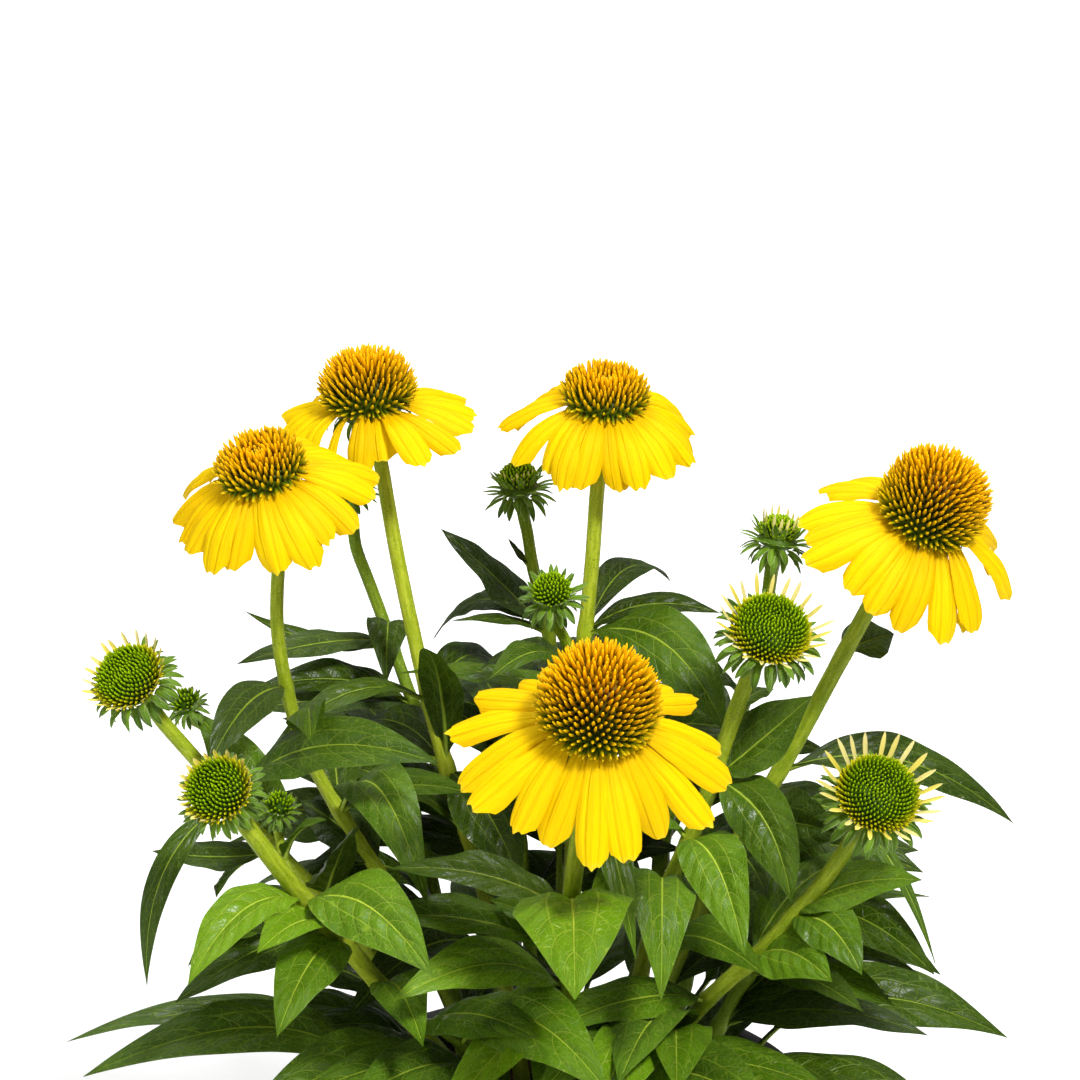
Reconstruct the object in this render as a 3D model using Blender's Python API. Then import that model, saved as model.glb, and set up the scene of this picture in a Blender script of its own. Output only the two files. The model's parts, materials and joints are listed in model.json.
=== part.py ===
import math
import random

import bmesh
import bpy
import numpy as np
from mathutils import Matrix, Vector
from mathutils.bvhtree import BVHTree

# ---------------------------------------------------------------- driving dimensions, in metres
POT_RIM_R = 0.0960
POT_TOP_R = 0.0915
POT_BASE_R = 0.0700
POT_HEIGHT = 0.1450
POT_WALL = 0.0020
SOIL_TOP = 0.1310
LEAF_RIB = 0.0012  # thickness of a leaf at its midrib
GAP = 0.0003  # left between pieces that touch

# The elevation drawing. The plant was set out on a drawing 1080 units wide and high, seen from 1.25 m away
# and 18 degrees above the horizon, where one unit is 0.36 mm at the middle of the plant.
# place(u, v, y) turns a spot on that drawing, u to the right and v down, at the depth y, into metres.
SIGHT = math.radians(18.0)
DRAW_D = 1.25
DRAW_F = DRAW_D / 0.00036
AIM = Vector((-0.0095, 0.0, SOIL_TOP + 0.2385))
FWD = Vector((0.0, math.cos(SIGHT), -math.sin(SIGHT)))
UPW = Vector((0.0, math.sin(SIGHT), math.cos(SIGHT)))
EYE = AIM - DRAW_D * FWD


def place(u, v, y):
    d = FWD + Vector(((u - 540.0) / DRAW_F, 0.0, 0.0)) - UPW * ((v - 540.0) / DRAW_F)
    return EYE + d * ((y - EYE.y) / d.y)


def drawn(p):
    q = Vector(p) - EYE
    depth = q.dot(FWD)
    return 540.0 + q.x / depth * DRAW_F, 540.0 - q.dot(UPW) / depth * DRAW_F


# ---------------------------------------------------------------- flower heads
# name: (u, v, y, lean to the right, tilt towards the front, radius of the cone, height of the cone)
# in degrees and millimetres. The spot is the middle of the ring that carries the ray florets.
OPEN = {
    "a": (369, 405, 0.056, -4, 22, 18.6, 21.5),
    "b": (263, 474, -0.014, -14, 36, 17.4, 12.5),
    "c": (605, 403, 0.030, 3, 30, 17.2, 12.5),
    "d": (924, 522, 0.000, 24, 34, 20.3, 29.0),
    "e": (596, 722, -0.125, 6, 41, 21.0, 27.5),
}
OPENING = {
    "f": (131, 680, -0.030, -34, 50, 11.8, 8.0),
    "g": (219, 792, -0.085, -30, 60, 10.8, 7.0),
    "k": (769, 634, -0.050, 14, 50, 13.2, 10.5),
    "l": (876, 798, -0.075, 18, 54, 13.6, 11.0),
}
CLOSED = {
    "h": (519, 484, 0.060, -8, 20, 9.2, 8.0),
    "i": (552, 594, -0.020, -4, 48, 8.2, 6.5),
    "j": (778, 536, 0.055, 10, 14, 9.6, 7.5),
    "m": (341, 484, 0.104, -18, 24, 9.0, 7.5),
    "n": (186, 704, 0.010, -20, 40, 5.6, 5.0),
    "o": (279, 808, -0.050, 10, 40, 5.4, 5.0),
    "p": (634, 626, 0.065, 14, 20, 7.0, 6.0),
}
HEADS = {**OPEN, **OPENING, **CLOSED}

# petals of the open flowers: number, length, width, first and last angle below the ring's plane
RAYS = {
    "a": (16, 0.0302, 0.0118, 4, 46),
    "b": (18, 0.0298, 0.0114, 12, 66),
    "c": (19, 0.0292, 0.0114, 10, 70),
    "d": (18, 0.0335, 0.0124, 12, 62),
    "e": (18, 0.0352, 0.0128, 19, 58),
}
# rays that differ from the rest: (flower, number of the ray): length, width, first and last angle
ODD_RAYS = {
    ("a", 7): (0.0285, 0.0108, -2, 64),
    ("a", 8): (0.0275, 0.0112, 0, 76),
    ("a", 9): (0.0255, 0.0110, 6, 88),
    ("a", 10): (0.0290, 0.0048, 20, 104),
    ("a", 11): (0.0215, 0.0108, 30, 74),
    ("a", 12): (0.0225, 0.0112, 22, 66),
    ("e", 6): (0.0240, 0.0100, 4, 44),
    ("e", 7): (0.0300, 0.0126, 6, 32),
    ("e", 1): (0.0270, 0.0092, 10, 26),
    ("e", 4): (0.0200, 0.0070, 10, 60),
    ("d", 7): (0.0240, 0.0110, 4, 50),
    ("d", 16): (0.0330, 0.0090, 30, 80),
}
# short new rays of the opening heads: number, length, width, first and last angle (negative is upwards)
NEW_RAYS = {
    "f": (21, 0.0070, 0.0017, -46, -60),
    "g": (22, 0.0046, 0.0020, -50, -68),
    "k": (22, 0.0102, 0.0018, -40, -52),
    "l": (23, 0.0112, 0.0021, -36, -48),
}

# ---------------------------------------------------------------- stems
# name: (radius, ((u, v, y), ... from the head down), (x, y) where the stem leaves the soil)
STEMS = {
    "a": (0.0027, ((379, 455, 0.056), (397, 556, 0.048), (417, 650, 0.038), (440, 745, 0.028), (486, 900, 0.018)), (-0.016, 0.014)),
    "b": (0.0024, ((279, 560, -0.002), (276, 610, 0.000), (287, 690, 0.000), (318, 775, 0.000), (420, 940, -0.001)), (-0.030, 0.002)),
    "c": (0.0027, ((597, 488, 0.024), (592, 560, 0.022), (584, 645, 0.020), (576, 740, 0.018), (570, 920, 0.018)), (0.002, 0.022)),
    "d": (0.0030, ((893, 566, 0.006), (870, 606, 0.008), (830, 680, 0.010), (788, 757, 0.012), (690, 930, 0.010)), (0.026, 0.010)),
    "e": (0.0030, ((585, 800, -0.112), (573, 880, -0.104), (570, 925, -0.094), (568, 1010, -0.066)), (0.003, -0.026)),
    "f": (0.0026, ((163, 722, -0.022), (200, 764, -0.020), (262, 836, -0.018), (370, 950, -0.014)), (-0.036, -0.012)),
    "g": (0.0031, ((251, 832, -0.078), (299, 893, -0.070), (380, 985, -0.052)), (-0.024, -0.024)),
    "h": (0.0022, ((524, 512, 0.060), (534, 575, 0.058), (552, 660, 0.054), (562, 860, 0.044)), (-0.006, 0.034)),
    "i": (0.0020, ((560, 628, -0.012), (572, 668, -0.008), (578, 780, -0.006), (572, 960, -0.010)), (0.000, -0.002)),
    "j": (0.0025, ((773, 575, 0.055), (762, 620, 0.054), (735, 730, 0.050), (655, 920, 0.040)), (0.018, 0.032)),
    "k": (0.0028, ((746, 684, -0.044), (722, 752, -0.042), (698, 820, -0.040), (652, 930, -0.034)), (0.018, -0.012)),
    "l": (0.0028, ((851, 842, -0.070), (815, 892, -0.066), (762, 950, -0.060), (690, 1020, -0.044)), (0.024, -0.026)),
    "m": (0.0023, ((352, 535, 0.102), (384, 622, 0.092), (425, 735, 0.076), (490, 900, 0.055)), (-0.024, 0.034)),
}
# side branches: bud: (stem it leaves, how far down the drawing it joins, radius, points)
BRANCHES = {
    "n": ("f", 860, 0.0018, ((206, 728, 0.020), (242, 764, 0.012), (270, 815, -0.004))),
    "o": ("g", 905, 0.0016, ((279, 832, -0.044), (284, 860, -0.056))),
    "p": ("c", 760, 0.0017, ((624, 658, 0.070), (606, 704, 0.050))),
}
# shoots with no flower, that fill the plant out behind and at the sides: radius, tip (x, y, z above the soil), foot
SHOOTS = {
    "1": (0.0026, (-0.064, 0.062, 0.128), (-0.036, 0.022)),
    "2": (0.0027, (0.000, 0.088, 0.140), (0.004, 0.048)),
    "3": (0.0026, (0.074, 0.056, 0.122), (0.036, 0.024)),
    "4": (0.0024, (0.040, -0.070, 0.072), (0.014, -0.040)),
    "5": (0.0024, (-0.046, -0.066, 0.076), (-0.014, -0.042)),
    "6": (0.0025, (-0.084, -0.004, 0.100), (-0.046, 0.008)),
    "7": (0.0025, (0.090, -0.002, 0.096), (0.042, -0.002)),
    "8": (0.0025, (-0.024, 0.052, 0.160), (-0.010, 0.050)),
    "9": (0.0025, (0.050, 0.074, 0.146), (0.026, 0.050)),
}

# ---------------------------------------------------------------- leaves that show from the front
# (stem, where it leaves the stem (u, v), tip (u, v, y), width in mm, arch, turn to the front in degrees)
# arch is how far the middle of the leaf stands above the line from base to tip, as a share of its length.
SHOWN = (
    ("f", (240, 800), (438, 763, -0.072), 23, 0.14, -34),
    ("b", (345, 812), (428, 906, -0.092), 21, 0.26, 14),
    ("b", (330, 795), (468, 792, -0.040), 17, 0.10, 20),
    ("m", (378, 640), (245, 611, 0.080), 9.5, -0.10, 10),
    ("m", (392, 655), (237, 664, 0.050), 15, 0.06, 40),
    ("a", (430, 690), (272, 748, 0.000), 11, 0.20, -20),
    ("m", (410, 700), (238, 712, 0.055), 20, 0.06, -46),
    ("f", (262, 836), (196, 712, 0.012), 22, 0.10, 40),
    ("m", (384, 620), (386, 684, 0.050), 15, 0.40, 0),
    ("a", (440, 742), (424, 648, -0.024), 15, 0.16, 30),
    ("h", (540, 622), (441, 529, 0.062), 19, 0.03, -36),
    ("h", (545, 640), (430, 645, 0.080), 17, 0.30, 30),
    ("h", (542, 616), (451, 621, 0.040), 9.5, 0.08, 0),
    ("i", (572, 650), (478, 672, 0.012), 15, 0.22, -24),
    ("c", (588, 622), (671, 582, 0.080), 13, 0.24, 10),
    ("c", (590, 618), (720, 613, 0.020), 13, 0.16, 8),
    ("c", (590, 640), (722, 748, -0.020), 23, 0.24, -44),
    ("j", (742, 705), (640, 640, 0.040), 20, 0.08, 50),
    ("k", (706, 800), (812, 696, -0.045), 22, 0.00, 40),
    ("k", (700, 812), (745, 956, -0.108), 21, 0.16, 18),
    ("k", (706, 802), (785, 908, -0.070), 20, 0.20, -50),
    ("d", (742, 842), (842, 836, -0.036), 24, 0.06, -52),
    ("l", (800, 910), (922, 880, -0.082), 17, 0.12, -36),
    ("l", (775, 938), (862, 975, -0.095), 18, 0.22, -24),
    ("d", (760, 802), (918, 972, -0.058), 7, 0.34, 30),
    ("d", (752, 818), (859, 965, -0.044), 7, 0.24, 30),
    ("d", (790, 752), (1013, 823, 0.020), 18, 0.16, -34),
    ("d", (852, 652), (894, 634, 0.030), 16, 0.06, -30),
    ("j", (732, 738), (828, 752, 0.050), 14, 0.14, -20),
    ("g", (297, 888), (432, 975, -0.128), 24, 0.16, -34),
    ("g", (300, 900), (188, 985, -0.110), 19, 0.24, 30),
    ("f", (262, 836), (152, 851, -0.016), 15, -0.04, 40),
    ("f", (250, 826), (147, 985, -0.050), 9, 0.22, 50),
    ("g", (330, 926), (214, 925, -0.060), 22, 0.12, 46),
    ("o", (282, 846), (327, 820, -0.070), 10.5, 0.14, -10),
    ("f", (300, 880), (352, 832, -0.080), 21, 0.05, 30),
    ("e", (569, 922), (575, 1000, -0.170), 36, 0.24, 0),
    ("i", (577, 860), (636, 960, -0.116), 15, 0.30, 0),
    ("k", (672, 880), (690, 1000, -0.128), 22, 0.24, 6),
    ("e", (568, 985), (424, 962, -0.092), 18, 0.10, -40),
    ("f", (370, 950), (431, 914, -0.080), 11, 0.05, -20),
    ("h", (528, 545), (508, 538, 0.056), 3.4, -0.04, 30),
    ("k", (740, 700), (775, 690, -0.010), 9, 0.10, 0),
    ("f", (330, 910), (188, 966, -0.024), 24, 0.16, 46),
    ("f", (285, 858), (216, 898, 0.000), 20, 0.12, 40),
    ("b", (370, 870), (300, 800, 0.018), 22, 0.10, 40),
    ("a", (455, 800), (520, 880, 0.000), 22, 0.10, 40),
    ("e", (570, 940), (490, 900, -0.080), 20, 0.14, 44),
    ("d", (700, 915), (800, 960, -0.030), 24, 0.14, 40),
    ("l", (730, 980), (820, 985, -0.100), 20, 0.16, 34),
)

# The drawing's outline of the foliage, left to right: nothing but flowers and the leaves above stands outside it.
OUTLINE = ((120, 1010), (146, 880), (178, 852), (205, 760), (240, 690), (300, 670), (380, 664), (430, 668), (470, 640),
           (520, 628), (600, 630), (660, 640), (700, 690), (760, 730), (800, 760), (860, 800), (930, 860), (945, 1000))


def inside_outline(p):
    u, v = drawn(p)
    if v > 1010:
        return 60 < u < 1010
    if u <= OUTLINE[0][0] or u >= OUTLINE[-1][0]:
        return False
    for (u0, v0), (u1, v1) in zip(OUTLINE, OUTLINE[1:]):
        if u0 <= u <= u1:
            return v >= v0 + (v1 - v0) * (u - u0) / (u1 - u0)
    return False


# (u, v, half width, half height, y): nothing but the leaves above stands in front of these flowers
KEPT_CLEAR = ((588, 775, 152, 122, -0.080), (876, 795, 68, 72, -0.050), (219, 795, 62, 66, -0.055), (769, 636, 64, 66, -0.030))


def hides_flower(p):
    u, v = drawn(p)
    return any(p.y < y and ((u - u0) / a) ** 2 + ((v - v0) / b) ** 2 < 1 for u0, v0, a, b, y in KEPT_CLEAR)


# ---------------------------------------------------------------- curves and frames
def smooth_path(points, step):
    """A Catmull-Rom curve through the points, read at even steps."""
    p = [Vector(q) for q in points]
    p = [2 * p[0] - p[1], *p, 2 * p[-1] - p[-2]]
    dense = []
    for i in range(1, len(p) - 2):
        for k in range(12):
            t = k / 12
            dense.append(0.5 * ((2 * p[i]) + (p[i + 1] - p[i - 1]) * t + (2 * p[i - 1] - 5 * p[i] + 4 * p[i + 1] - p[i + 2]) * t * t
                                + (3 * p[i] - p[i - 1] - 3 * p[i + 1] + p[i + 2]) * t ** 3))
    dense.append(p[-2])
    lengths = [0.0]
    for a, b in zip(dense, dense[1:]):
        lengths.append(lengths[-1] + (b - a).length)
    n = max(3, int(round(lengths[-1] / step)))
    out, j = [], 0
    for k in range(n + 1):
        s = lengths[-1] * k / n
        while j < len(dense) - 2 and lengths[j + 1] < s:
            j += 1
        f = (s - lengths[j]) / max(1e-9, lengths[j + 1] - lengths[j])
        out.append(dense[j].lerp(dense[j + 1], min(1.0, max(0.0, f))))
    return out


def head_frame(name):
    """The middle of the head's ring, and a matrix whose third column is its axis."""
    u, v, y, lean, tilt, _, _ = HEADS[name]
    lean, tilt = math.radians(lean), math.radians(tilt)
    axis = (Vector((1, 0, 0)) * math.sin(lean) + UPW * math.cos(lean)) * math.cos(tilt) - FWD * math.sin(tilt)
    axis.normalize()
    side = Vector((1, 0, 0)) - axis * axis.x
    side.normalize()
    front = axis.cross(side)
    m = Matrix((side, front, axis)).transposed().to_4x4()
    m.translation = place(u, v, y)
    return m


def stem_top(name):
    """How far under its ring a head's stem ends."""
    return 0.0016 if name not in CLOSED else HEADS[name][5] * 0.001 * 0.62 + GAP


def lower_path(name, points, foot):
    m = head_frame(name)
    axis = m.col[2].to_3d()
    top = m.translation - axis * stem_top(name)
    way = [top - axis * 0.008]
    way += [place(*q) for q in points]
    way.append(Vector((foot[0], foot[1], SOIL_TOP + 0.014)) + (way[-1] - Vector((foot[0], foot[1], SOIL_TOP))) * 0.10)
    way.append(Vector((foot[0], foot[1], SOIL_TOP + GAP)))
    return [top, *smooth_path(way, 0.013)]


def corners(path):
    """The points of a path that the solids keep: both ends and every second one between."""
    n = len(path) - 1
    return [0, *range(1, n, 2), n]


def joints(path):
    return [path[i] for i in corners(path)[1:-1]]


def stem_paths():
    paths = {}
    for name, (radius, points, foot) in STEMS.items():
        paths[name] = (lower_path(name, points, foot), radius)
    for name, (radius, tip, foot) in SHOOTS.items():
        a = Vector((foot[0], foot[1], SOIL_TOP + GAP))
        b = Vector((tip[0], tip[1], SOIL_TOP + tip[2]))
        mid = a.lerp(b, 0.5) + Vector((0, 0, 0.016))
        paths["shoot_" + name] = (smooth_path([b, b.lerp(mid, 0.5) + Vector((0, 0, 0.003)), mid, a.lerp(mid, 0.45) + Vector((0, 0, 0.006)), a], 0.012), radius)
    for name, (parent, v_join, radius, points) in BRANCHES.items():
        m = head_frame(name)
        axis = m.col[2].to_3d()
        top = m.translation - axis * stem_top(name)
        main = paths[parent][0]
        join = min((main[i] for i in corners(main)), key=lambda q: abs(drawn(q)[1] - v_join))
        way = [top - axis * 0.005, *[place(*q) for q in points], join]
        paths["branch_" + name] = ([top, *smooth_path(way, 0.010)], radius)
    return paths


def taper(name, radius, s):
    """Stem radius at s, 0 at the head and 1 at the soil."""
    return radius * (1.0 + 0.08 * s + 0.12 * s ** 6)


def tube(path, radii, sides):
    """Vertices and faces of a closed tube along the path."""
    verts, faces = [], []
    first = (path[1] - path[0]).normalized()
    ref = Vector((0, 1, 0)) if abs(first.x) > 0.7 else Vector((1, 0, 0))
    floor = SOIL_TOP + GAP
    for i, p in enumerate(path):
        t = (path[min(i + 1, len(path) - 1)] - path[max(i - 1, 0)]).normalized()
        a = (ref - t * ref.dot(t)).normalized()
        b = t.cross(a)
        ref = a
        for k in range(sides):
            w = 2 * math.pi * k / sides
            q = p + (a * math.cos(w) + b * math.sin(w)) * radii[i]
            q.z = max(q.z, floor)
            verts.append(q)
    for i in range(len(path) - 1):
        for k in range(sides):
            q = (k + 1) % sides
            faces.append((i * sides + k, i * sides + q, (i + 1) * sides + q, (i + 1) * sides + k))
    faces.append(tuple(reversed(range(sides))))
    last = (len(path) - 1) * sides
    faces.append(tuple(last + k for k in range(sides)))
    return verts, faces


# ---------------------------------------------------------------- leaves
def leaf_width(s, petiole):
    """Half of the outline's width at s along the leaf, as a share of its greatest width."""
    if s <= petiole:
        return 0.0
    x = (s - petiole) / (1 - petiole)
    peak = 0.42 ** 0.74 * 0.58 ** 1.02
    return 0.5 * (x ** 0.74 * max(0.0, 1 - x) ** 1.02) / peak


def leaf_curve(base, tip, arch, n, out=None):
    """Points and upward normals of a midrib from base to tip. It rises by arch of its length in the middle."""
    chord = tip - base
    length = chord.length
    up = Vector((0, 0, 1))
    if abs(chord.normalized().z) > 0.93:
        flat = (out or Vector((0, -1, 0))).copy()
        flat.z = 0
        up = flat.normalized() if flat.length > 1e-6 else Vector((0, -1, 0))
    lift = (up - chord * (up.dot(chord) / length ** 2)).normalized()
    c = base.lerp(tip, 0.42) + lift * (arch * 2.0 * length)
    pts, nor = [], []
    for i in range(n + 1):
        t = i / n
        pts.append(base * (1 - t) ** 2 + c * (2 * t * (1 - t)) + tip * t * t)
        d = ((c - base) * (1 - t) + (tip - c) * t).normalized()
        nor.append((lift - d * lift.dot(d)).normalized())
    return pts, nor


def leaf_frames(leaf, n):
    """For each of n + 1 stations: point, sideways direction, normal, half width."""
    pts, nor = leaf_curve(leaf["base"], leaf["tip"], leaf["arch"], n)
    out = []
    for i, (p, nn) in enumerate(zip(pts, nor)):
        t = (pts[min(i + 1, n)] - pts[max(i - 1, 0)]).normalized()
        side = t.cross(nn).normalized()
        turn = side if i == 0 else turn
        sign = 1.0 if turn.dot(FWD) <= 0 else -1.0
        roll = sign * math.radians(leaf["roll"] + leaf.get("twist", 0.0) * (i / n - 0.3)) * min(1.0, 2.2 * i / n)
        nn2 = nn * math.cos(roll) + side * math.sin(roll)
        side2 = side * math.cos(roll) - nn * math.sin(roll)
        out.append((p, side2, nn2, leaf["width"] * leaf_width(i / n, leaf["petiole"])))
    return out


STATIONS = 12  # the solid reads every third or fourth of these


def leaf_solid(leaf, thick, wider=0.0, skip=0):
    """A closed lens-shaped leaf: four corners at each station, one point at the tip."""
    frames = leaf_frames(leaf, STATIONS)
    use = [0, 3, 6, 9] if leaf["fine"] else [0, 4, 8]
    use = use[skip:]
    verts, faces = [], []
    fold = 0.12
    for k in use:
        p, side, nn, half = frames[k]
        half = max(half, 0.0011) + wider
        edge = nn * (half * fold)
        verts += [p - side * half + edge, p - nn * (thick / 2), p + side * half + edge, p + nn * (thick / 2)]
    tip = frames[-1][0]
    verts.append(tip)
    m = len(use)
    for i in range(m - 1):
        for k in range(4):
            a, b = i * 4 + k, i * 4 + (k + 1) % 4
            faces.append((a, b, b + 4))
            faces.append((a, b + 4, a + 4))
    faces.append((3, 1, 0))
    faces.append((3, 2, 1))
    e = (m - 1) * 4
    for k in range(4):
        faces.append((e + k, e + (k + 1) % 4, m * 4))
    return verts, faces


def tree_of(verts, faces):
    return BVHTree.FromPolygons([tuple(v) for v in verts], faces, all_triangles=False)


def box_of(verts):
    a = np.array([tuple(v) for v in verts])
    return a.min(0), a.max(0)


class Room:
    """What is already in place, so that a new leaf can be tried against it."""

    def __init__(self):
        self.items = []
        self.blades = {}

    def add(self, tag, verts, faces):
        self.items.append((tag, box_of(verts), tree_of(verts, faces)))

    def clear(self, tag, verts, faces):
        lo, hi = box_of(verts)
        mine = None
        for other, (lo2, hi2), tree in self.items:
            if other == tag or (lo > hi2).any() or (lo2 > hi).any():
                continue
            mine = mine or tree_of(verts, faces)
            if mine.overlap(tree):
                return False
        return True


# ---------------------------------------------------------------- ray florets
def petal_plan(name):
    """One entry for each ray floret: azimuth, length, width, first angle, last angle, sideways bend, twist. Those in front hang lower than those beside."""
    new = name in OPENING
    number, length, width, first, last = (NEW_RAYS if new else RAYS)[name]
    rng = random.Random("rays " + name)
    plan = []
    for i in range(number):
        az = 2 * math.pi * (i + 0.5 + rng.uniform(-0.17, 0.17)) / number
        near, aside = (0.0, 0.0) if new else (-math.sin(az), abs(math.cos(az)))
        row = {
            "az": az,
            "length": length * rng.uniform(0.89, 1.07),
            "width": width * rng.uniform(0.90, 1.10),
            "first": math.radians(first + rng.uniform(-5, 5) + 6 * near - 4 * aside),
            "last": math.radians(last + rng.uniform(-11, 11) + 6 * near - 9 * aside),
            "bend": rng.uniform(-0.10, 0.10),
            "twist": rng.uniform(-12, 12) + 24 * math.cos(az),
        }
        if (name, i) in ODD_RAYS:
            size, wide, a0, a1 = ODD_RAYS[name, i]
            row.update(length=size, width=wide, first=math.radians(a0), last=math.radians(a1))
        plan.append(row)
    return plan


def ring_radius(name):
    r = HEADS[name][5] * 0.001
    return r * 0.80 if name in OPEN else r + 0.0008


def petal_line(row, r0, n):
    """Points of a petal's midline in the head's own frame, z along the axis, with the outward direction at each."""
    pts, dirs = [], []
    r, z, side = r0, 0.0, 0.0
    for i in range(n + 1):
        s = i / n
        a = row["first"] + (row["last"] - row["first"]) * s ** 0.9
        ca, sa = math.cos(row["az"] + 0.0), math.sin(row["az"] + 0.0)
        out = Vector((ca, sa, 0))
        across = Vector((-sa, ca, 0))
        pts.append(out * r + across * side + Vector((0, 0, z)))
        dirs.append((out * math.cos(a) - Vector((0, 0, math.sin(a))), across))
        step = row["length"] / n
        r += math.cos(a) * step
        z -= math.sin(a) * step
        side += row["bend"] * step * 2 * s
    return pts, dirs


# ---------------------------------------------------------------- solids that stand for the flowers, pot and soil
def turned(profile, sides, frame=None):
    """A closed solid of revolution. The profile runs from the axis at the bottom to the axis at the top."""
    verts, faces, rings = [], [], []
    for r, z in profile:
        if r < 1e-7:
            rings.append([len(verts)])
            verts.append(Vector((0, 0, z)))
        else:
            rings.append(list(range(len(verts), len(verts) + sides)))
            for k in range(sides):
                w = 2 * math.pi * k / sides
                verts.append(Vector((r * math.cos(w), r * math.sin(w), z)))
    for a, b in zip(rings, rings[1:]):
        for k in range(sides):
            q = (k + 1) % sides
            if len(a) == 1:
                faces.append((a[0], b[q], b[k]))
            elif len(b) == 1:
                faces.append((a[k], a[q], b[0]))
            else:
                faces.append((a[k], a[q], b[q], b[k]))
    if frame is not None:
        verts = [frame @ v for v in verts]
    return verts, faces


def cone_profile(name):
    """Outline of an open flower's cone above the ring of rays, and of the receptacle inside the ring."""
    _, _, _, _, _, r, h = HEADS[name]
    r, h = r * 0.001, h * 0.001
    r_in = ring_radius(name) - 0.0030
    z0 = GAP
    low = [(0.0, -0.0013), (r_in - GAP, -0.0013), (r_in - GAP, z0)]
    dome = [(r * 0.88, z0), (r, z0 + h * 0.22), (r * 0.95, z0 + h * 0.48), (r * 0.78, z0 + h * 0.74), (r * 0.46, z0 + h * 0.95), (0.0, z0 + h)]
    return low + dome


def rays_solid(name, frame):
    """The ray florets of one open flower as one body: a thin ring with a two-part blade for each floret."""
    number = RAYS[name][0]
    r0 = ring_radius(name)
    r_in = r0 - 0.0030
    thick = 0.0011
    verts, faces = [], []
    pitch = 2 * math.pi / number
    plan = petal_plan(name)
    for i in range(number):
        mid = pitch * (i + 0.5)
        for sgn in (-1, 1):
            w = mid + sgn * pitch * 0.30
            for r, z in ((r_in, 0.0), (r_in, -thick), (r0, 0.0), (r0, -thick)):
                verts.append(Vector((r * math.cos(w), r * math.sin(w), z)))
    n2 = number * 2
    for k in range(n2):
        q = (k + 1) % n2
        a, b = 4 * k, 4 * q
        faces.append((a, a + 2, b + 2, b))
        faces.append((a + 1, b + 1, b + 3, a + 3))
        faces.append((a, b, b + 1, a + 1))
        if k % 2 == 1:
            faces.append((a + 2, a + 3, b + 3, b + 2))
    for i in range(number):
        row = dict(plan[i], az=pitch * (i + 0.5), bend=0.0)
        pts, dirs = petal_line(row, r0, 2)
        left, right = 8 * i, 8 * i + 4
        prev = (left + 2, right + 2, right + 3, left + 3)
        for s, share in ((1, 1.0), (2, 0.50)):
            p = pts[s]
            reach = math.hypot(p.x, p.y)
            half = min(row["width"] * share * 0.5, reach * math.tan(pitch * 0.43))
            d, across = dirs[s]
            nn = d.cross(across).normalized()
            nn = nn if nn.z > 0 or abs(nn.z) < 1e-6 else -nn
            i0 = len(verts)
            verts += [p - across * half, p + across * half, p + across * half - nn * thick, p - across * half - nn * thick]
            a, b, c, e = prev
            faces += [(a, i0, i0 + 1, b), (b, i0 + 1, i0 + 2, c), (c, i0 + 2, i0 + 3, e), (e, i0 + 3, i0, a)]
            prev = (i0, i0 + 1, i0 + 2, i0 + 3)
        faces.append((prev[0], prev[3], prev[2], prev[1]))
    return [frame @ v for v in verts], faces


def head_profile(name):
    """Outline of an opening flower or a bud, bracts and all."""
    _, _, _, _, _, r, h = HEADS[name]
    r, h = r * 0.001, h * 0.001
    if name in CLOSED:
        return [(0.0, -r * 0.62), (r * 0.45, -r * 0.60), (r * 0.86, -r * 0.30), (r, 0.05 * h), (r * 0.90, h * 0.50), (r * 0.56, h * 0.88), (0.0, h)]
    _, length, _, first, last = NEW_RAYS[name]
    up = math.radians(-0.5 * (first + last))
    tip_r, tip_z = r + length * math.cos(up) + 0.0006, length * math.sin(up)
    return [(0.0, -0.0013), (r * 0.42, -0.0013), (r * 0.98, -0.0010), (tip_r, tip_z - 0.0006), (tip_r - 0.0003, tip_z + 0.0004),
            (r * 1.0, 0.0010), (r * 0.92, h * 0.42), (r * 0.62, h * 0.84), (0.0, h)]


POT_PROFILE = [
    (0.0, 0.0), (POT_BASE_R - 0.0015, 0.0), (POT_BASE_R, 0.0015), (POT_TOP_R, POT_HEIGHT - 0.020), (POT_RIM_R, POT_HEIGHT - 0.020),
    (POT_RIM_R, POT_HEIGHT - 0.0008), (POT_RIM_R - 0.0008, POT_HEIGHT), (POT_TOP_R - POT_WALL + 0.0008, POT_HEIGHT),
    (POT_TOP_R - POT_WALL, POT_HEIGHT - 0.0008), (POT_TOP_R - POT_WALL, POT_HEIGHT - 0.020), (POT_BASE_R - POT_WALL, POT_WALL), (0.0, POT_WALL)]


def pot_inner(z):
    """Radius of the inside of the pot at the height z."""
    z1 = POT_HEIGHT - 0.020
    if z >= z1:
        return POT_TOP_R - POT_WALL
    return POT_BASE_R - POT_WALL + (POT_TOP_R - POT_BASE_R) * (z - POT_WALL) / (z1 - POT_WALL)


# a little smaller than the pot's own circle allows, because both are drawn with flat sides
SOIL_PROFILE = [
    (0.0, POT_WALL + GAP), (pot_inner(POT_WALL) - 2 * GAP, POT_WALL + GAP), (pot_inner(POT_HEIGHT - 0.021) - 2 * GAP, POT_HEIGHT - 0.021),
    (pot_inner(0.130) - 2 * GAP, SOIL_TOP - 0.0015), (pot_inner(0.130) - 0.003, SOIL_TOP), (0.0, SOIL_TOP)]


# ---------------------------------------------------------------- where every leaf goes
def turned_tip(base, tip, yaw, pitch):
    d = tip - base
    d = Matrix.Rotation(math.radians(yaw), 3, "Z") @ d
    flat = Vector((-d.y, d.x, 0))
    if flat.length > 1e-6 and pitch:
        d = Matrix.Rotation(math.radians(-pitch), 3, flat.normalized()) @ d
    return base + d


def near_on(path, u, v):
    return min(joints(path), key=lambda q: math.hypot(drawn(q)[0] - u, drawn(q)[1] - v))


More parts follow.
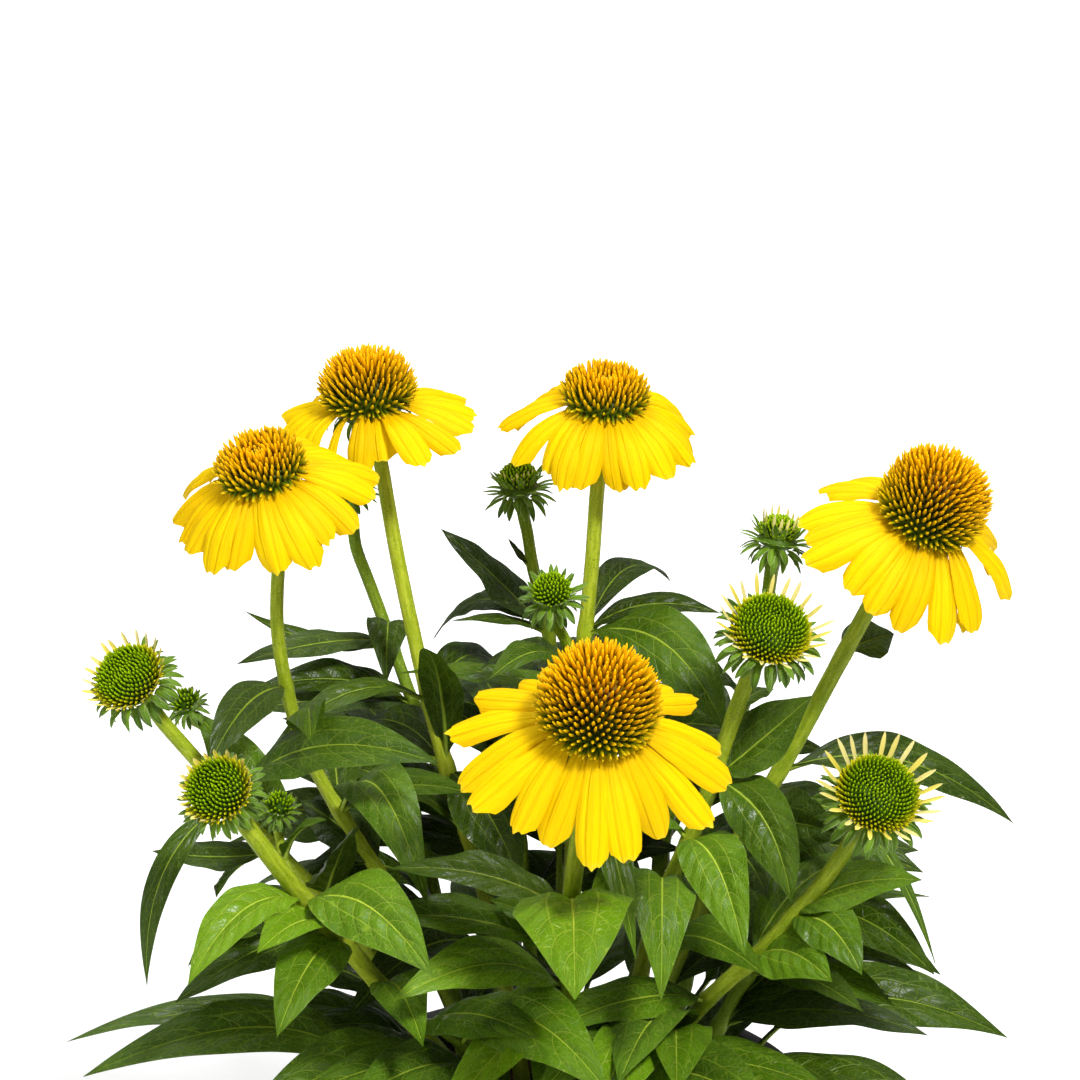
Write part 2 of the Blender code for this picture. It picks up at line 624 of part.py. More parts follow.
TRIES = [(0, 0, 1.0)] + [(y, p, w) for w in (1.0, 0.86) for y, p in ((0, 5), (6, 0), (-6, 0), (0, -5), (6, 5), (-6, 5), (6, -5), (-6, -5),
                                                         (12, 0), (-12, 0), (0, 11), (0, -11), (12, 8), (-12, 8), (12, -8), (-12, -8),
                                                         (19, 0), (-19, 0), (18, 12), (-18, 12), (0, 18), (0, -18))]


def folded(leaf):
    """Whether the leaf's solid cuts through itself."""
    verts, faces = leaf_solid(leaf, LEAF_RIB)
    tree = tree_of(verts, faces)
    return any(a < b and not set(faces[a]) & set(faces[b]) for a, b in tree.overlap(tree))


def settle(room, leaf, own, tries=TRIES, test=None):
    """Try the leaf as it is and then a little turned or narrower, until it touches nothing but its own stem."""
    for yaw, pitch, w in tries:
        new = dict(leaf, tip=turned_tip(leaf["base"], leaf["tip"], yaw, pitch), width=leaf["width"] * w)
        while folded(new) and abs(new["roll"]) > 2:
            new["roll"] *= 0.6
            new["twist"] *= 0.4
        if folded(new):
            continue
        if test and not test(new):
            continue
        verts, faces = leaf_solid(new, LEAF_RIB + 0.0008, 0.0004, skip=0)
        if min(v.z for v in verts) < SOIL_TOP + GAP and min(math.hypot(v.x, v.y) for v in verts if v.z < POT_HEIGHT) < POT_RIM_R:
            continue
        if room.clear(own, verts, faces):
            mine = leaf_solid(new, LEAF_RIB, 0.0, skip=1)
            tree = tree_of(*mine)
            if any(tree.overlap(other) for other in room.blades.get(own, ())):
                continue
            room.blades.setdefault(own, []).append(tree)
            room.add(own, *leaf_solid(new, LEAF_RIB, 0.0, skip=0))
            return new
    return None


def grow():
    """Stem paths, the leaves on each stem and the leaves that rise from the soil."""
    paths = stem_paths()
    room = Room()
    for name, (path, radius) in paths.items():
        own = BRANCHES[name[7:]][0] if name.startswith("branch_") else name
        n = len(path) - 1
        room.add(own, *tube(path, [taper(name, radius, i / n) + 0.0004 for i in range(n + 1)], 6))
    for name in HEADS:
        m = head_frame(name)
        if name in OPEN:
            room.add("head", *turned(cone_profile(name), 14, m))
            room.add("head", *rays_solid(name, m))
        else:
            room.add("head", *turned(head_profile(name), 14, m))
    room.add("pot", *turned(POT_PROFILE, 32))
    room.add("soil", *turned(SOIL_PROFILE, 32))
    leaves = {name: [] for name in paths if not name.startswith("branch_")}
    missed = []
    for row, (stem, (u, v), tip, width, arch, roll) in enumerate(SHOWN):
        key = stem
        path = paths[key][0] if key in paths else paths["branch_" + key][0]
        own = BRANCHES[key][0] if key in BRANCHES else key
        base = near_on(path, u, v)
        leaf = {"base": base, "tip": place(*tip), "width": width * 0.00114, "arch": arch, "roll": 8 + abs(roll), "petiole": 0.07, "twist": 14.0 if row % 2 else -10.0,
                "fine": width > 12}
        got = settle(room, leaf, own)
        if got is None:
            missed.append(row)
        else:
            leaves[own].append(got)
    rng = random.Random(11)
    basal = []
    # leaves that rise from the soil on long stalks, round the crown
    for k in range(60):
        if len(basal) >= 15:
            break
        az = math.radians(-90 + k * 137.508)
        r = rng.uniform(0.040, 0.062)
        base = Vector((r * math.cos(az), r * math.sin(az), SOIL_TOP + 0.0019))
        reach = rng.uniform(0.085, 0.118) + (0.012 if math.sin(az) < 0 else 0.0)
        a2 = az + rng.uniform(-0.35, 0.35)
        tip = base + Vector((math.cos(a2) * reach, math.sin(a2) * reach, rng.uniform(0.010, 0.060)))
        leaf = {"base": base, "tip": tip, "width": rng.uniform(0.025, 0.034), "arch": rng.uniform(0.24, 0.36), "roll": rng.uniform(-12, 28),
                "petiole": 0.30, "twist": rng.uniform(-20, 20), "fine": True}

        def low_enough(q):
            pts, _ = leaf_curve(q["base"], q["tip"], q["arch"], 6)
            return all(inside_outline(p) for p in pts[1:])

        got = settle(room, leaf, "basal %d" % k, test=low_enough)
        if got is not None:
            basal.append(got)
    # leaves up the stems, in a spiral, wherever there is room for them
    order = sorted(leaves)
    for turn in range(17):
        for si, name in enumerate(order):
            path, radius = paths[name]
            low = [q for q in joints(path) if q.z > SOIL_TOP + 0.020 and inside_outline(q)]
            if not low or len(leaves[name]) >= (10 if name.startswith("shoot_") else 8):
                continue
            f = ((turn * 0.382 + 0.5 * (si % 2)) % 1.0) * 0.92
            base = low[min(len(low) - 1, int(f * len(low)))]
            high = (base.z - SOIL_TOP) / 0.17
            centre = Vector((base.x - 0.0, base.y - 0.0, 0.0))
            az = 2.39996 * turn + 1.3 * si
            away = math.atan2(centre.y, centre.x) if centre.length > 0.012 else az
            diff = (az - away + math.pi) % (2 * math.pi) - math.pi
            az = away + diff * 0.60
            length = rng.uniform(0.066, 0.092) * (1.06 - 0.26 * min(1.0, max(0.0, high)))
            rise = rng.uniform(-0.12, 0.40)
            tip = base + Vector((math.cos(az), math.sin(az), rise)).normalized() * length
            leaf = {"base": base, "tip": tip, "width": length * rng.uniform(0.29, 0.36), "arch": rng.uniform(0.08, 0.24),
                    "roll": rng.uniform(-6, 44), "petiole": 0.08, "twist": rng.uniform(-16, 16), "fine": False}

            def in_plant(q):
                pts, _ = leaf_curve(q["base"], q["tip"], q["arch"], 6)
                if not all(inside_outline(p) for p in pts[1:]) or any(hides_flower(p) for p in pts):
                    return False
                return all(math.hypot(p.x, p.y) < 0.160 and p.z > SOIL_TOP + 0.004 for p in pts)

            got = settle(room, leaf, name, test=in_plant)
            if got is not None:
                leaves[name].append(got)
    return paths, leaves, basal, missed


# ================================================================ the solids
FINISH = {
    "leaf": ((0.10, 0.22, 0.05, 1), 0.55),
    "stem": ((0.34, 0.42, 0.12, 1), 0.60),
    "ray": ((0.95, 0.76, 0.02, 1), 0.50),
    "disc": ((0.72, 0.32, 0.03, 1), 0.60),
    "bud": ((0.24, 0.40, 0.08, 1), 0.60),
    "pot": ((0.035, 0.036, 0.038, 1), 0.55),
    "soil": ((0.045, 0.030, 0.020, 1), 0.95),
}


def clear_scene():
    for obj in list(bpy.data.objects):
        bpy.data.objects.remove(obj, do_unlink=True)


def paint(obj, kind):
    colour, rough = FINISH[kind]
    mat = bpy.data.materials.new("mat_" + obj.name)
    mat.use_nodes = True
    shader = mat.node_tree.nodes["Principled BSDF"]
    shader.inputs["Base Color"].default_value = colour
    shader.inputs["Roughness"].default_value = rough
    obj.data.materials.clear()
    obj.data.materials.append(mat)


def flat(face):
    a, b, c, d = (v.co for v in face.verts)
    n = (b - a).cross(c - a)
    return n.length > 1e-12 and abs((d - a).dot(n.normalized())) < 1e-7


def body(name, verts, faces):
    mesh = bpy.data.meshes.new(name)
    mesh.from_pydata([tuple(v) for v in verts], [], faces)
    bm = bmesh.new()
    bm.from_mesh(mesh)
    bmesh.ops.triangulate(bm, faces=[f for f in bm.faces if len(f.verts) == 4 and not flat(f)])
    bmesh.ops.recalc_face_normals(bm, faces=bm.faces)
    if bm.calc_volume(signed=True) < 0:
        bmesh.ops.reverse_faces(bm, faces=bm.faces)
    bm.to_mesh(mesh)
    bm.free()
    obj = bpy.data.objects.new(name, mesh)
    bpy.context.scene.collection.objects.link(obj)
    return obj


def islands(mesh):
    """How many separate bodies a mesh has, and the volume it holds."""
    bm = bmesh.new()
    bm.from_mesh(mesh)
    bm.verts.ensure_lookup_table()
    seen, count = set(), 0
    for vert in bm.verts:
        if vert.index in seen:
            continue
        count += 1
        stack = [vert]
        seen.add(vert.index)
        while stack:
            for edge in stack.pop().link_edges:
                for other in edge.verts:
                    if other.index not in seen:
                        seen.add(other.index)
                        stack.append(other)
    volume = bm.calc_volume(signed=True)
    bm.free()
    return count, volume


def join_all(obj, others):
    """Union of one body with the others, which are taken away afterwards. A part is nudged a little where its faces meet badly."""
    for other in others:
        _, before = islands(obj.data)
        for nudge in (0.0, 0.00011, -0.00017, 0.00029, -0.00037):
            other.location = (nudge, -nudge * 0.7, nudge * 0.4)
            mod = obj.modifiers.new("grown on", "BOOLEAN")
            mod.operation = "UNION"
            mod.solver = "EXACT"
            mod.object = other
            bpy.context.view_layer.update()
            graph = bpy.context.evaluated_depsgraph_get()
            mesh = bpy.data.meshes.new_from_object(obj.evaluated_get(graph))
            obj.modifiers.clear()
            count, volume = islands(mesh)
            if count == 1 and volume > before:
                break
            bpy.data.meshes.remove(mesh)
            mesh = None
        if mesh is not None:
            old = obj.data
            obj.data = mesh
            bpy.data.meshes.remove(old)
        bpy.data.objects.remove(other, do_unlink=True)
    obj.data.name = obj.name
    return obj


def smooth(obj, on=True):
    for poly in obj.data.polygons:
        poly.use_smooth = on


def build():
    clear_scene()
    paths, leaves, basal, _ = grow()

    pot = body("pot", *turned(POT_PROFILE, 32))
    paint(pot, "pot")
    smooth(pot)
    soil = body("soil", *turned(SOIL_PROFILE, 32))
    paint(soil, "soil")

    for name in sorted(leaves):
        path, radius = paths[name]
        n = len(path) - 1
        label = name if name.startswith("shoot_") else "stem_" + name
        even = corners(path)
        main = body(label, *tube([path[i] for i in even], [taper(name, radius, i / n) for i in even], 6))
        extra = []
        for bud, (parent, _, r, _) in BRANCHES.items():
            if parent == name:
                bp = paths["branch_" + bud][0]
                kept = corners(bp)
                extra.append(body("side_" + bud, *tube([bp[i] for i in kept], [r] * len(kept), 6)))
        for i, leaf in enumerate(leaves[name]):
            extra.append(body("%s_leaf_%d" % (label, i), *leaf_solid(leaf, LEAF_RIB)))
        join_all(main, extra)
        smooth(main)
        paint(main, "stem")

    for name in HEADS:
        m = head_frame(name)
        if name in OPEN:
            cone = body("cone_" + name, *turned(cone_profile(name), 12, m))
            smooth(cone)
            paint(cone, "disc")
            rays = body("rays_" + name, *rays_solid(name, m))
            paint(rays, "ray")
        else:
            bud = body("bud_" + name if name in CLOSED else "head_" + name, *turned(head_profile(name), 10, m))
            smooth(bud)
            paint(bud, "bud")

    for i, leaf in enumerate(basal):
        obj = body("leaf_%02d" % (i + 1), *leaf_solid(leaf, LEAF_RIB))
        smooth(obj)
        paint(obj, "leaf")


build()
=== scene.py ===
import json
import math
import random

import bmesh
import bpy
import numpy as np
from mathutils import Matrix, Vector
from mathutils.bvhtree import BVHTree

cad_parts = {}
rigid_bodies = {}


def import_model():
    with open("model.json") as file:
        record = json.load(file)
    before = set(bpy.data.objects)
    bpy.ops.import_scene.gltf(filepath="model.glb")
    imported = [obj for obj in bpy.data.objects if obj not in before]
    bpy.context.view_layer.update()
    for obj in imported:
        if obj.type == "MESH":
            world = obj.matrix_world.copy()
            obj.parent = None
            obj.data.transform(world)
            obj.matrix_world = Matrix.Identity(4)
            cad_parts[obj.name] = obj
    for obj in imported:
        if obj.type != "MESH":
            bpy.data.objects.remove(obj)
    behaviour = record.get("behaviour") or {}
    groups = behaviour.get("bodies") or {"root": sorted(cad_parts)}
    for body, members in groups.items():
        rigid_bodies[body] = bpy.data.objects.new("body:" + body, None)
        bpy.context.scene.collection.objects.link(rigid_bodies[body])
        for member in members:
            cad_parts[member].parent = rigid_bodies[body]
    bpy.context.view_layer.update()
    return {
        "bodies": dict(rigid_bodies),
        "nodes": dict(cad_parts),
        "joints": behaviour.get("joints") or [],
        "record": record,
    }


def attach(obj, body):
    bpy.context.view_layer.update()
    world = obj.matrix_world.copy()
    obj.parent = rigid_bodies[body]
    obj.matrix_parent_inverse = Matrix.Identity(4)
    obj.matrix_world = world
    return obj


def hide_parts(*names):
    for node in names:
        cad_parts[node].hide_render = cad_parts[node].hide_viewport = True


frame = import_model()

# ---------------------------------------------------------------- driving dimensions, in metres
POT_RIM_R = 0.0960
POT_TOP_R = 0.0915
POT_BASE_R = 0.0700
POT_HEIGHT = 0.1450
POT_WALL = 0.0020
SOIL_TOP = 0.1310
LEAF_RIB = 0.0012  # thickness of a leaf at its midrib
GAP = 0.0003  # left between pieces that touch

# The elevation drawing. The plant was set out on a drawing 1080 units wide and high, seen from 1.25 m away
# and 18 degrees above the horizon, where one unit is 0.36 mm at the middle of the plant.
# place(u, v, y) turns a spot on that drawing, u to the right and v down, at the depth y, into metres.
SIGHT = math.radians(18.0)
DRAW_D = 1.25
DRAW_F = DRAW_D / 0.00036
AIM = Vector((-0.0095, 0.0, SOIL_TOP + 0.2385))
FWD = Vector((0.0, math.cos(SIGHT), -math.sin(SIGHT)))
UPW = Vector((0.0, math.sin(SIGHT), math.cos(SIGHT)))
EYE = AIM - DRAW_D * FWD


def place(u, v, y):
    d = FWD + Vector(((u - 540.0) / DRAW_F, 0.0, 0.0)) - UPW * ((v - 540.0) / DRAW_F)
    return EYE + d * ((y - EYE.y) / d.y)


def drawn(p):
    q = Vector(p) - EYE
    depth = q.dot(FWD)
    return 540.0 + q.x / depth * DRAW_F, 540.0 - q.dot(UPW) / depth * DRAW_F


# ---------------------------------------------------------------- flower heads
# name: (u, v, y, lean to the right, tilt towards the front, radius of the cone, height of the cone)
# in degrees and millimetres. The spot is the middle of the ring that carries the ray florets.
OPEN = {
    "a": (369, 405, 0.056, -4, 22, 18.6, 21.5),
    "b": (263, 474, -0.014, -14, 36, 17.4, 12.5),
    "c": (605, 403, 0.030, 3, 30, 17.2, 12.5),
    "d": (924, 522, 0.000, 24, 34, 20.3, 29.0),
    "e": (596, 722, -0.125, 6, 41, 21.0, 27.5),
}
OPENING = {
    "f": (131, 680, -0.030, -34, 50, 11.8, 8.0),
    "g": (219, 792, -0.085, -30, 60, 10.8, 7.0),
    "k": (769, 634, -0.050, 14, 50, 13.2, 10.5),
    "l": (876, 798, -0.075, 18, 54, 13.6, 11.0),
}
CLOSED = {
    "h": (519, 484, 0.060, -8, 20, 9.2, 8.0),
    "i": (552, 594, -0.020, -4, 48, 8.2, 6.5),
    "j": (778, 536, 0.055, 10, 14, 9.6, 7.5),
    "m": (341, 484, 0.104, -18, 24, 9.0, 7.5),
    "n": (186, 704, 0.010, -20, 40, 5.6, 5.0),
    "o": (279, 808, -0.050, 10, 40, 5.4, 5.0),
    "p": (634, 626, 0.065, 14, 20, 7.0, 6.0),
}
HEADS = {**OPEN, **OPENING, **CLOSED}

# petals of the open flowers: number, length, width, first and last angle below the ring's plane
RAYS = {
    "a": (16, 0.0302, 0.0118, 4, 46),
    "b": (18, 0.0298, 0.0114, 12, 66),
    "c": (19, 0.0292, 0.0114, 10, 70),
    "d": (18, 0.0335, 0.0124, 12, 62),
    "e": (18, 0.0352, 0.0128, 19, 58),
}
# rays that differ from the rest: (flower, number of the ray): length, width, first and last angle
ODD_RAYS = {
    ("a", 7): (0.0285, 0.0108, -2, 64),
    ("a", 8): (0.0275, 0.0112, 0, 76),
    ("a", 9): (0.0255, 0.0110, 6, 88),
    ("a", 10): (0.0290, 0.0048, 20, 104),
    ("a", 11): (0.0215, 0.0108, 30, 74),
    ("a", 12): (0.0225, 0.0112, 22, 66),
    ("e", 6): (0.0240, 0.0100, 4, 44),
    ("e", 7): (0.0300, 0.0126, 6, 32),
    ("e", 1): (0.0270, 0.0092, 10, 26),
    ("e", 4): (0.0200, 0.0070, 10, 60),
    ("d", 7): (0.0240, 0.0110, 4, 50),
    ("d", 16): (0.0330, 0.0090, 30, 80),
}
# short new rays of the opening heads: number, length, width, first and last angle (negative is upwards)
NEW_RAYS = {
    "f": (21, 0.0070, 0.0017, -46, -60),
    "g": (22, 0.0046, 0.0020, -50, -68),
    "k": (22, 0.0102, 0.0018, -40, -52),
    "l": (23, 0.0112, 0.0021, -36, -48),
}

# ---------------------------------------------------------------- stems
# name: (radius, ((u, v, y), ... from the head down), (x, y) where the stem leaves the soil)
STEMS = {
    "a": (0.0027, ((379, 455, 0.056), (397, 556, 0.048), (417, 650, 0.038), (440, 745, 0.028), (486, 900, 0.018)), (-0.016, 0.014)),
    "b": (0.0024, ((279, 560, -0.002), (276, 610, 0.000), (287, 690, 0.000), (318, 775, 0.000), (420, 940, -0.001)), (-0.030, 0.002)),
    "c": (0.0027, ((597, 488, 0.024), (592, 560, 0.022), (584, 645, 0.020), (576, 740, 0.018), (570, 920, 0.018)), (0.002, 0.022)),
    "d": (0.0030, ((893, 566, 0.006), (870, 606, 0.008), (830, 680, 0.010), (788, 757, 0.012), (690, 930, 0.010)), (0.026, 0.010)),
    "e": (0.0030, ((585, 800, -0.112), (573, 880, -0.104), (570, 925, -0.094), (568, 1010, -0.066)), (0.003, -0.026)),
    "f": (0.0026, ((163, 722, -0.022), (200, 764, -0.020), (262, 836, -0.018), (370, 950, -0.014)), (-0.036, -0.012)),
    "g": (0.0031, ((251, 832, -0.078), (299, 893, -0.070), (380, 985, -0.052)), (-0.024, -0.024)),
    "h": (0.0022, ((524, 512, 0.060), (534, 575, 0.058), (552, 660, 0.054), (562, 860, 0.044)), (-0.006, 0.034)),
    "i": (0.0020, ((560, 628, -0.012), (572, 668, -0.008), (578, 780, -0.006), (572, 960, -0.010)), (0.000, -0.002)),
    "j": (0.0025, ((773, 575, 0.055), (762, 620, 0.054), (735, 730, 0.050), (655, 920, 0.040)), (0.018, 0.032)),
    "k": (0.0028, ((746, 684, -0.044), (722, 752, -0.042), (698, 820, -0.040), (652, 930, -0.034)), (0.018, -0.012)),
    "l": (0.0028, ((851, 842, -0.070), (815, 892, -0.066), (762, 950, -0.060), (690, 1020, -0.044)), (0.024, -0.026)),
    "m": (0.0023, ((352, 535, 0.102), (384, 622, 0.092), (425, 735, 0.076), (490, 900, 0.055)), (-0.024, 0.034)),
}
# side branches: bud: (stem it leaves, how far down the drawing it joins, radius, points)
BRANCHES = {
    "n": ("f", 860, 0.0018, ((206, 728, 0.020), (242, 764, 0.012), (270, 815, -0.004))),
    "o": ("g", 905, 0.0016, ((279, 832, -0.044), (284, 860, -0.056))),
    "p": ("c", 760, 0.0017, ((624, 658, 0.070), (606, 704, 0.050))),
}
# shoots with no flower, that fill the plant out behind and at the sides: radius, tip (x, y, z above the soil), foot
SHOOTS = {
    "1": (0.0026, (-0.064, 0.062, 0.128), (-0.036, 0.022)),
    "2": (0.0027, (0.000, 0.088, 0.140), (0.004, 0.048)),
    "3": (0.0026, (0.074, 0.056, 0.122), (0.036, 0.024)),
    "4": (0.0024, (0.040, -0.070, 0.072), (0.014, -0.040)),
    "5": (0.0024, (-0.046, -0.066, 0.076), (-0.014, -0.042)),
    "6": (0.0025, (-0.084, -0.004, 0.100), (-0.046, 0.008)),
    "7": (0.0025, (0.090, -0.002, 0.096), (0.042, -0.002)),
    "8": (0.0025, (-0.024, 0.052, 0.160), (-0.010, 0.050)),
    "9": (0.0025, (0.050, 0.074, 0.146), (0.026, 0.050)),
}

# ---------------------------------------------------------------- leaves that show from the front
# (stem, where it leaves the stem (u, v), tip (u, v, y), width in mm, arch, turn to the front in degrees)
# arch is how far the middle of the leaf stands above the line from base to tip, as a share of its length.
SHOWN = (
    ("f", (240, 800), (438, 763, -0.072), 23, 0.14, -34),
    ("b", (345, 812), (428, 906, -0.092), 21, 0.26, 14),
    ("b", (330, 795), (468, 792, -0.040), 17, 0.10, 20),
    ("m", (378, 640), (245, 611, 0.080), 9.5, -0.10, 10),
    ("m", (392, 655), (237, 664, 0.050), 15, 0.06, 40),
    ("a", (430, 690), (272, 748, 0.000), 11, 0.20, -20),
    ("m", (410, 700), (238, 712, 0.055), 20, 0.06, -46),
    ("f", (262, 836), (196, 712, 0.012), 22, 0.10, 40),
    ("m", (384, 620), (386, 684, 0.050), 15, 0.40, 0),
    ("a", (440, 742), (424, 648, -0.024), 15, 0.16, 30),
    ("h", (540, 622), (441, 529, 0.062), 19, 0.03, -36),
    ("h", (545, 640), (430, 645, 0.080), 17, 0.30, 30),
    ("h", (542, 616), (451, 621, 0.040), 9.5, 0.08, 0),
    ("i", (572, 650), (478, 672, 0.012), 15, 0.22, -24),
    ("c", (588, 622), (671, 582, 0.080), 13, 0.24, 10),
    ("c", (590, 618), (720, 613, 0.020), 13, 0.16, 8),
    ("c", (590, 640), (722, 748, -0.020), 23, 0.24, -44),
    ("j", (742, 705), (640, 640, 0.040), 20, 0.08, 50),
    ("k", (706, 800), (812, 696, -0.045), 22, 0.00, 40),
    ("k", (700, 812), (745, 956, -0.108), 21, 0.16, 18),
    ("k", (706, 802), (785, 908, -0.070), 20, 0.20, -50),
    ("d", (742, 842), (842, 836, -0.036), 24, 0.06, -52),
    ("l", (800, 910), (922, 880, -0.082), 17, 0.12, -36),
    ("l", (775, 938), (862, 975, -0.095), 18, 0.22, -24),
    ("d", (760, 802), (918, 972, -0.058), 7, 0.34, 30),
    ("d", (752, 818), (859, 965, -0.044), 7, 0.24, 30),
    ("d", (790, 752), (1013, 823, 0.020), 18, 0.16, -34),
    ("d", (852, 652), (894, 634, 0.030), 16, 0.06, -30),
    ("j", (732, 738), (828, 752, 0.050), 14, 0.14, -20),
    ("g", (297, 888), (432, 975, -0.128), 24, 0.16, -34),
    ("g", (300, 900), (188, 985, -0.110), 19, 0.24, 30),
    ("f", (262, 836), (152, 851, -0.016), 15, -0.04, 40),
    ("f", (250, 826), (147, 985, -0.050), 9, 0.22, 50),
    ("g", (330, 926), (214, 925, -0.060), 22, 0.12, 46),
    ("o", (282, 846), (327, 820, -0.070), 10.5, 0.14, -10),
    ("f", (300, 880), (352, 832, -0.080), 21, 0.05, 30),
    ("e", (569, 922), (575, 1000, -0.170), 36, 0.24, 0),
    ("i", (577, 860), (636, 960, -0.116), 15, 0.30, 0),
    ("k", (672, 880), (690, 1000, -0.128), 22, 0.24, 6),
    ("e", (568, 985), (424, 962, -0.092), 18, 0.10, -40),
    ("f", (370, 950), (431, 914, -0.080), 11, 0.05, -20),
    ("h", (528, 545), (508, 538, 0.056), 3.4, -0.04, 30),
    ("k", (740, 700), (775, 690, -0.010), 9, 0.10, 0),
    ("f", (330, 910), (188, 966, -0.024), 24, 0.16, 46),
    ("f", (285, 858), (216, 898, 0.000), 20, 0.12, 40),
    ("b", (370, 870), (300, 800, 0.018), 22, 0.10, 40),
    ("a", (455, 800), (520, 880, 0.000), 22, 0.10, 40),
    ("e", (570, 940), (490, 900, -0.080), 20, 0.14, 44),
    ("d", (700, 915), (800, 960, -0.030), 24, 0.14, 40),
    ("l", (730, 980), (820, 985, -0.100), 20, 0.16, 34),
)

# The drawing's outline of the foliage, left to right: nothing but flowers and the leaves above stands outside it.
OUTLINE = ((120, 1010), (146, 880), (178, 852), (205, 760), (240, 690), (300, 670), (380, 664), (430, 668), (470, 640),
           (520, 628), (600, 630), (660, 640), (700, 690), (760, 730), (800, 760), (860, 800), (930, 860), (945, 1000))


def inside_outline(p):
    u, v = drawn(p)
    if v > 1010:
        return 60 < u < 1010
    if u <= OUTLINE[0][0] or u >= OUTLINE[-1][0]:
        return False
    for (u0, v0), (u1, v1) in zip(OUTLINE, OUTLINE[1:]):
        if u0 <= u <= u1:
            return v >= v0 + (v1 - v0) * (u - u0) / (u1 - u0)
    return False


# (u, v, half width, half height, y): nothing but the leaves above stands in front of these flowers
KEPT_CLEAR = ((588, 775, 152, 122, -0.080), (876, 795, 68, 72, -0.050), (219, 795, 62, 66, -0.055), (769, 636, 64, 66, -0.030))


def hides_flower(p):
    u, v = drawn(p)
    return any(p.y < y and ((u - u0) / a) ** 2 + ((v - v0) / b) ** 2 < 1 for u0, v0, a, b, y in KEPT_CLEAR)


# ---------------------------------------------------------------- curves and frames
def smooth_path(points, step):
    """A Catmull-Rom curve through the points, read at even steps."""
    p = [Vector(q) for q in points]
    p = [2 * p[0] - p[1], *p, 2 * p[-1] - p[-2]]
    dense = []
    for i in range(1, len(p) - 2):
        for k in range(12):
            t = k / 12
            dense.append(0.5 * ((2 * p[i]) + (p[i + 1] - p[i - 1]) * t + (2 * p[i - 1] - 5 * p[i] + 4 * p[i + 1] - p[i + 2]) * t * t
                                + (3 * p[i] - p[i - 1] - 3 * p[i + 1] + p[i + 2]) * t ** 3))
    dense.append(p[-2])
    lengths = [0.0]
    for a, b in zip(dense, dense[1:]):
        lengths.append(lengths[-1] + (b - a).length)
    n = max(3, int(round(lengths[-1] / step)))
    out, j = [], 0
    for k in range(n + 1):
        s = lengths[-1] * k / n
        while j < len(dense) - 2 and lengths[j + 1] < s:
            j += 1
        f = (s - lengths[j]) / max(1e-9, lengths[j + 1] - lengths[j])
        out.append(dense[j].lerp(dense[j + 1], min(1.0, max(0.0, f))))
    return out


def head_frame(name):
    """The middle of the head's ring, and a matrix whose third column is its axis."""
    u, v, y, lean, tilt, _, _ = HEADS[name]
    lean, tilt = math.radians(lean), math.radians(tilt)
    axis = (Vector((1, 0, 0)) * math.sin(lean) + UPW * math.cos(lean)) * math.cos(tilt) - FWD * math.sin(tilt)
    axis.normalize()
    side = Vector((1, 0, 0)) - axis * axis.x
    side.normalize()
    front = axis.cross(side)
    m = Matrix((side, front, axis)).transposed().to_4x4()
    m.translation = place(u, v, y)
    return m


def stem_top(name):
    """How far under its ring a head's stem ends."""
    return 0.0016 if name not in CLOSED else HEADS[name][5] * 0.001 * 0.62 + GAP


def lower_path(name, points, foot):
    m = head_frame(name)
    axis = m.col[2].to_3d()
    top = m.translation - axis * stem_top(name)
    way = [top - axis * 0.008]
    way += [place(*q) for q in points]
    way.append(Vector((foot[0], foot[1], SOIL_TOP + 0.014)) + (way[-1] - Vector((foot[0], foot[1], SOIL_TOP))) * 0.10)
    way.append(Vector((foot[0], foot[1], SOIL_TOP + GAP)))
    return [top, *smooth_path(way, 0.013)]


def corners(path):
    """The points of a path that the solids keep: both ends and every second one between."""
    n = len(path) - 1
    return [0, *range(1, n, 2), n]


def joints(path):
    return [path[i] for i in corners(path)[1:-1]]


def stem_paths():
    paths = {}
    for name, (radius, points, foot) in STEMS.items():
        paths[name] = (lower_path(name, points, foot), radius)
    for name, (radius, tip, foot) in SHOOTS.items():
        a = Vector((foot[0], foot[1], SOIL_TOP + GAP))
        b = Vector((tip[0], tip[1], SOIL_TOP + tip[2]))
        mid = a.lerp(b, 0.5) + Vector((0, 0, 0.016))
        paths["shoot_" + name] = (smooth_path([b, b.lerp(mid, 0.5) + Vector((0, 0, 0.003)), mid, a.lerp(mid, 0.45) + Vector((0, 0, 0.006)), a], 0.012), radius)
    for name, (parent, v_join, radius, points) in BRANCHES.items():
        m = head_frame(name)
        axis = m.col[2].to_3d()
        top = m.translation - axis * stem_top(name)
        main = paths[parent][0]
        join = min((main[i] for i in corners(main)), key=lambda q: abs(drawn(q)[1] - v_join))
        way = [top - axis * 0.005, *[place(*q) for q in points], join]
        paths["branch_" + name] = ([top, *smooth_path(way, 0.010)], radius)
    return paths


def taper(name, radius, s):
    """Stem radius at s, 0 at the head and 1 at the soil."""
    return radius * (1.0 + 0.08 * s + 0.12 * s ** 6)


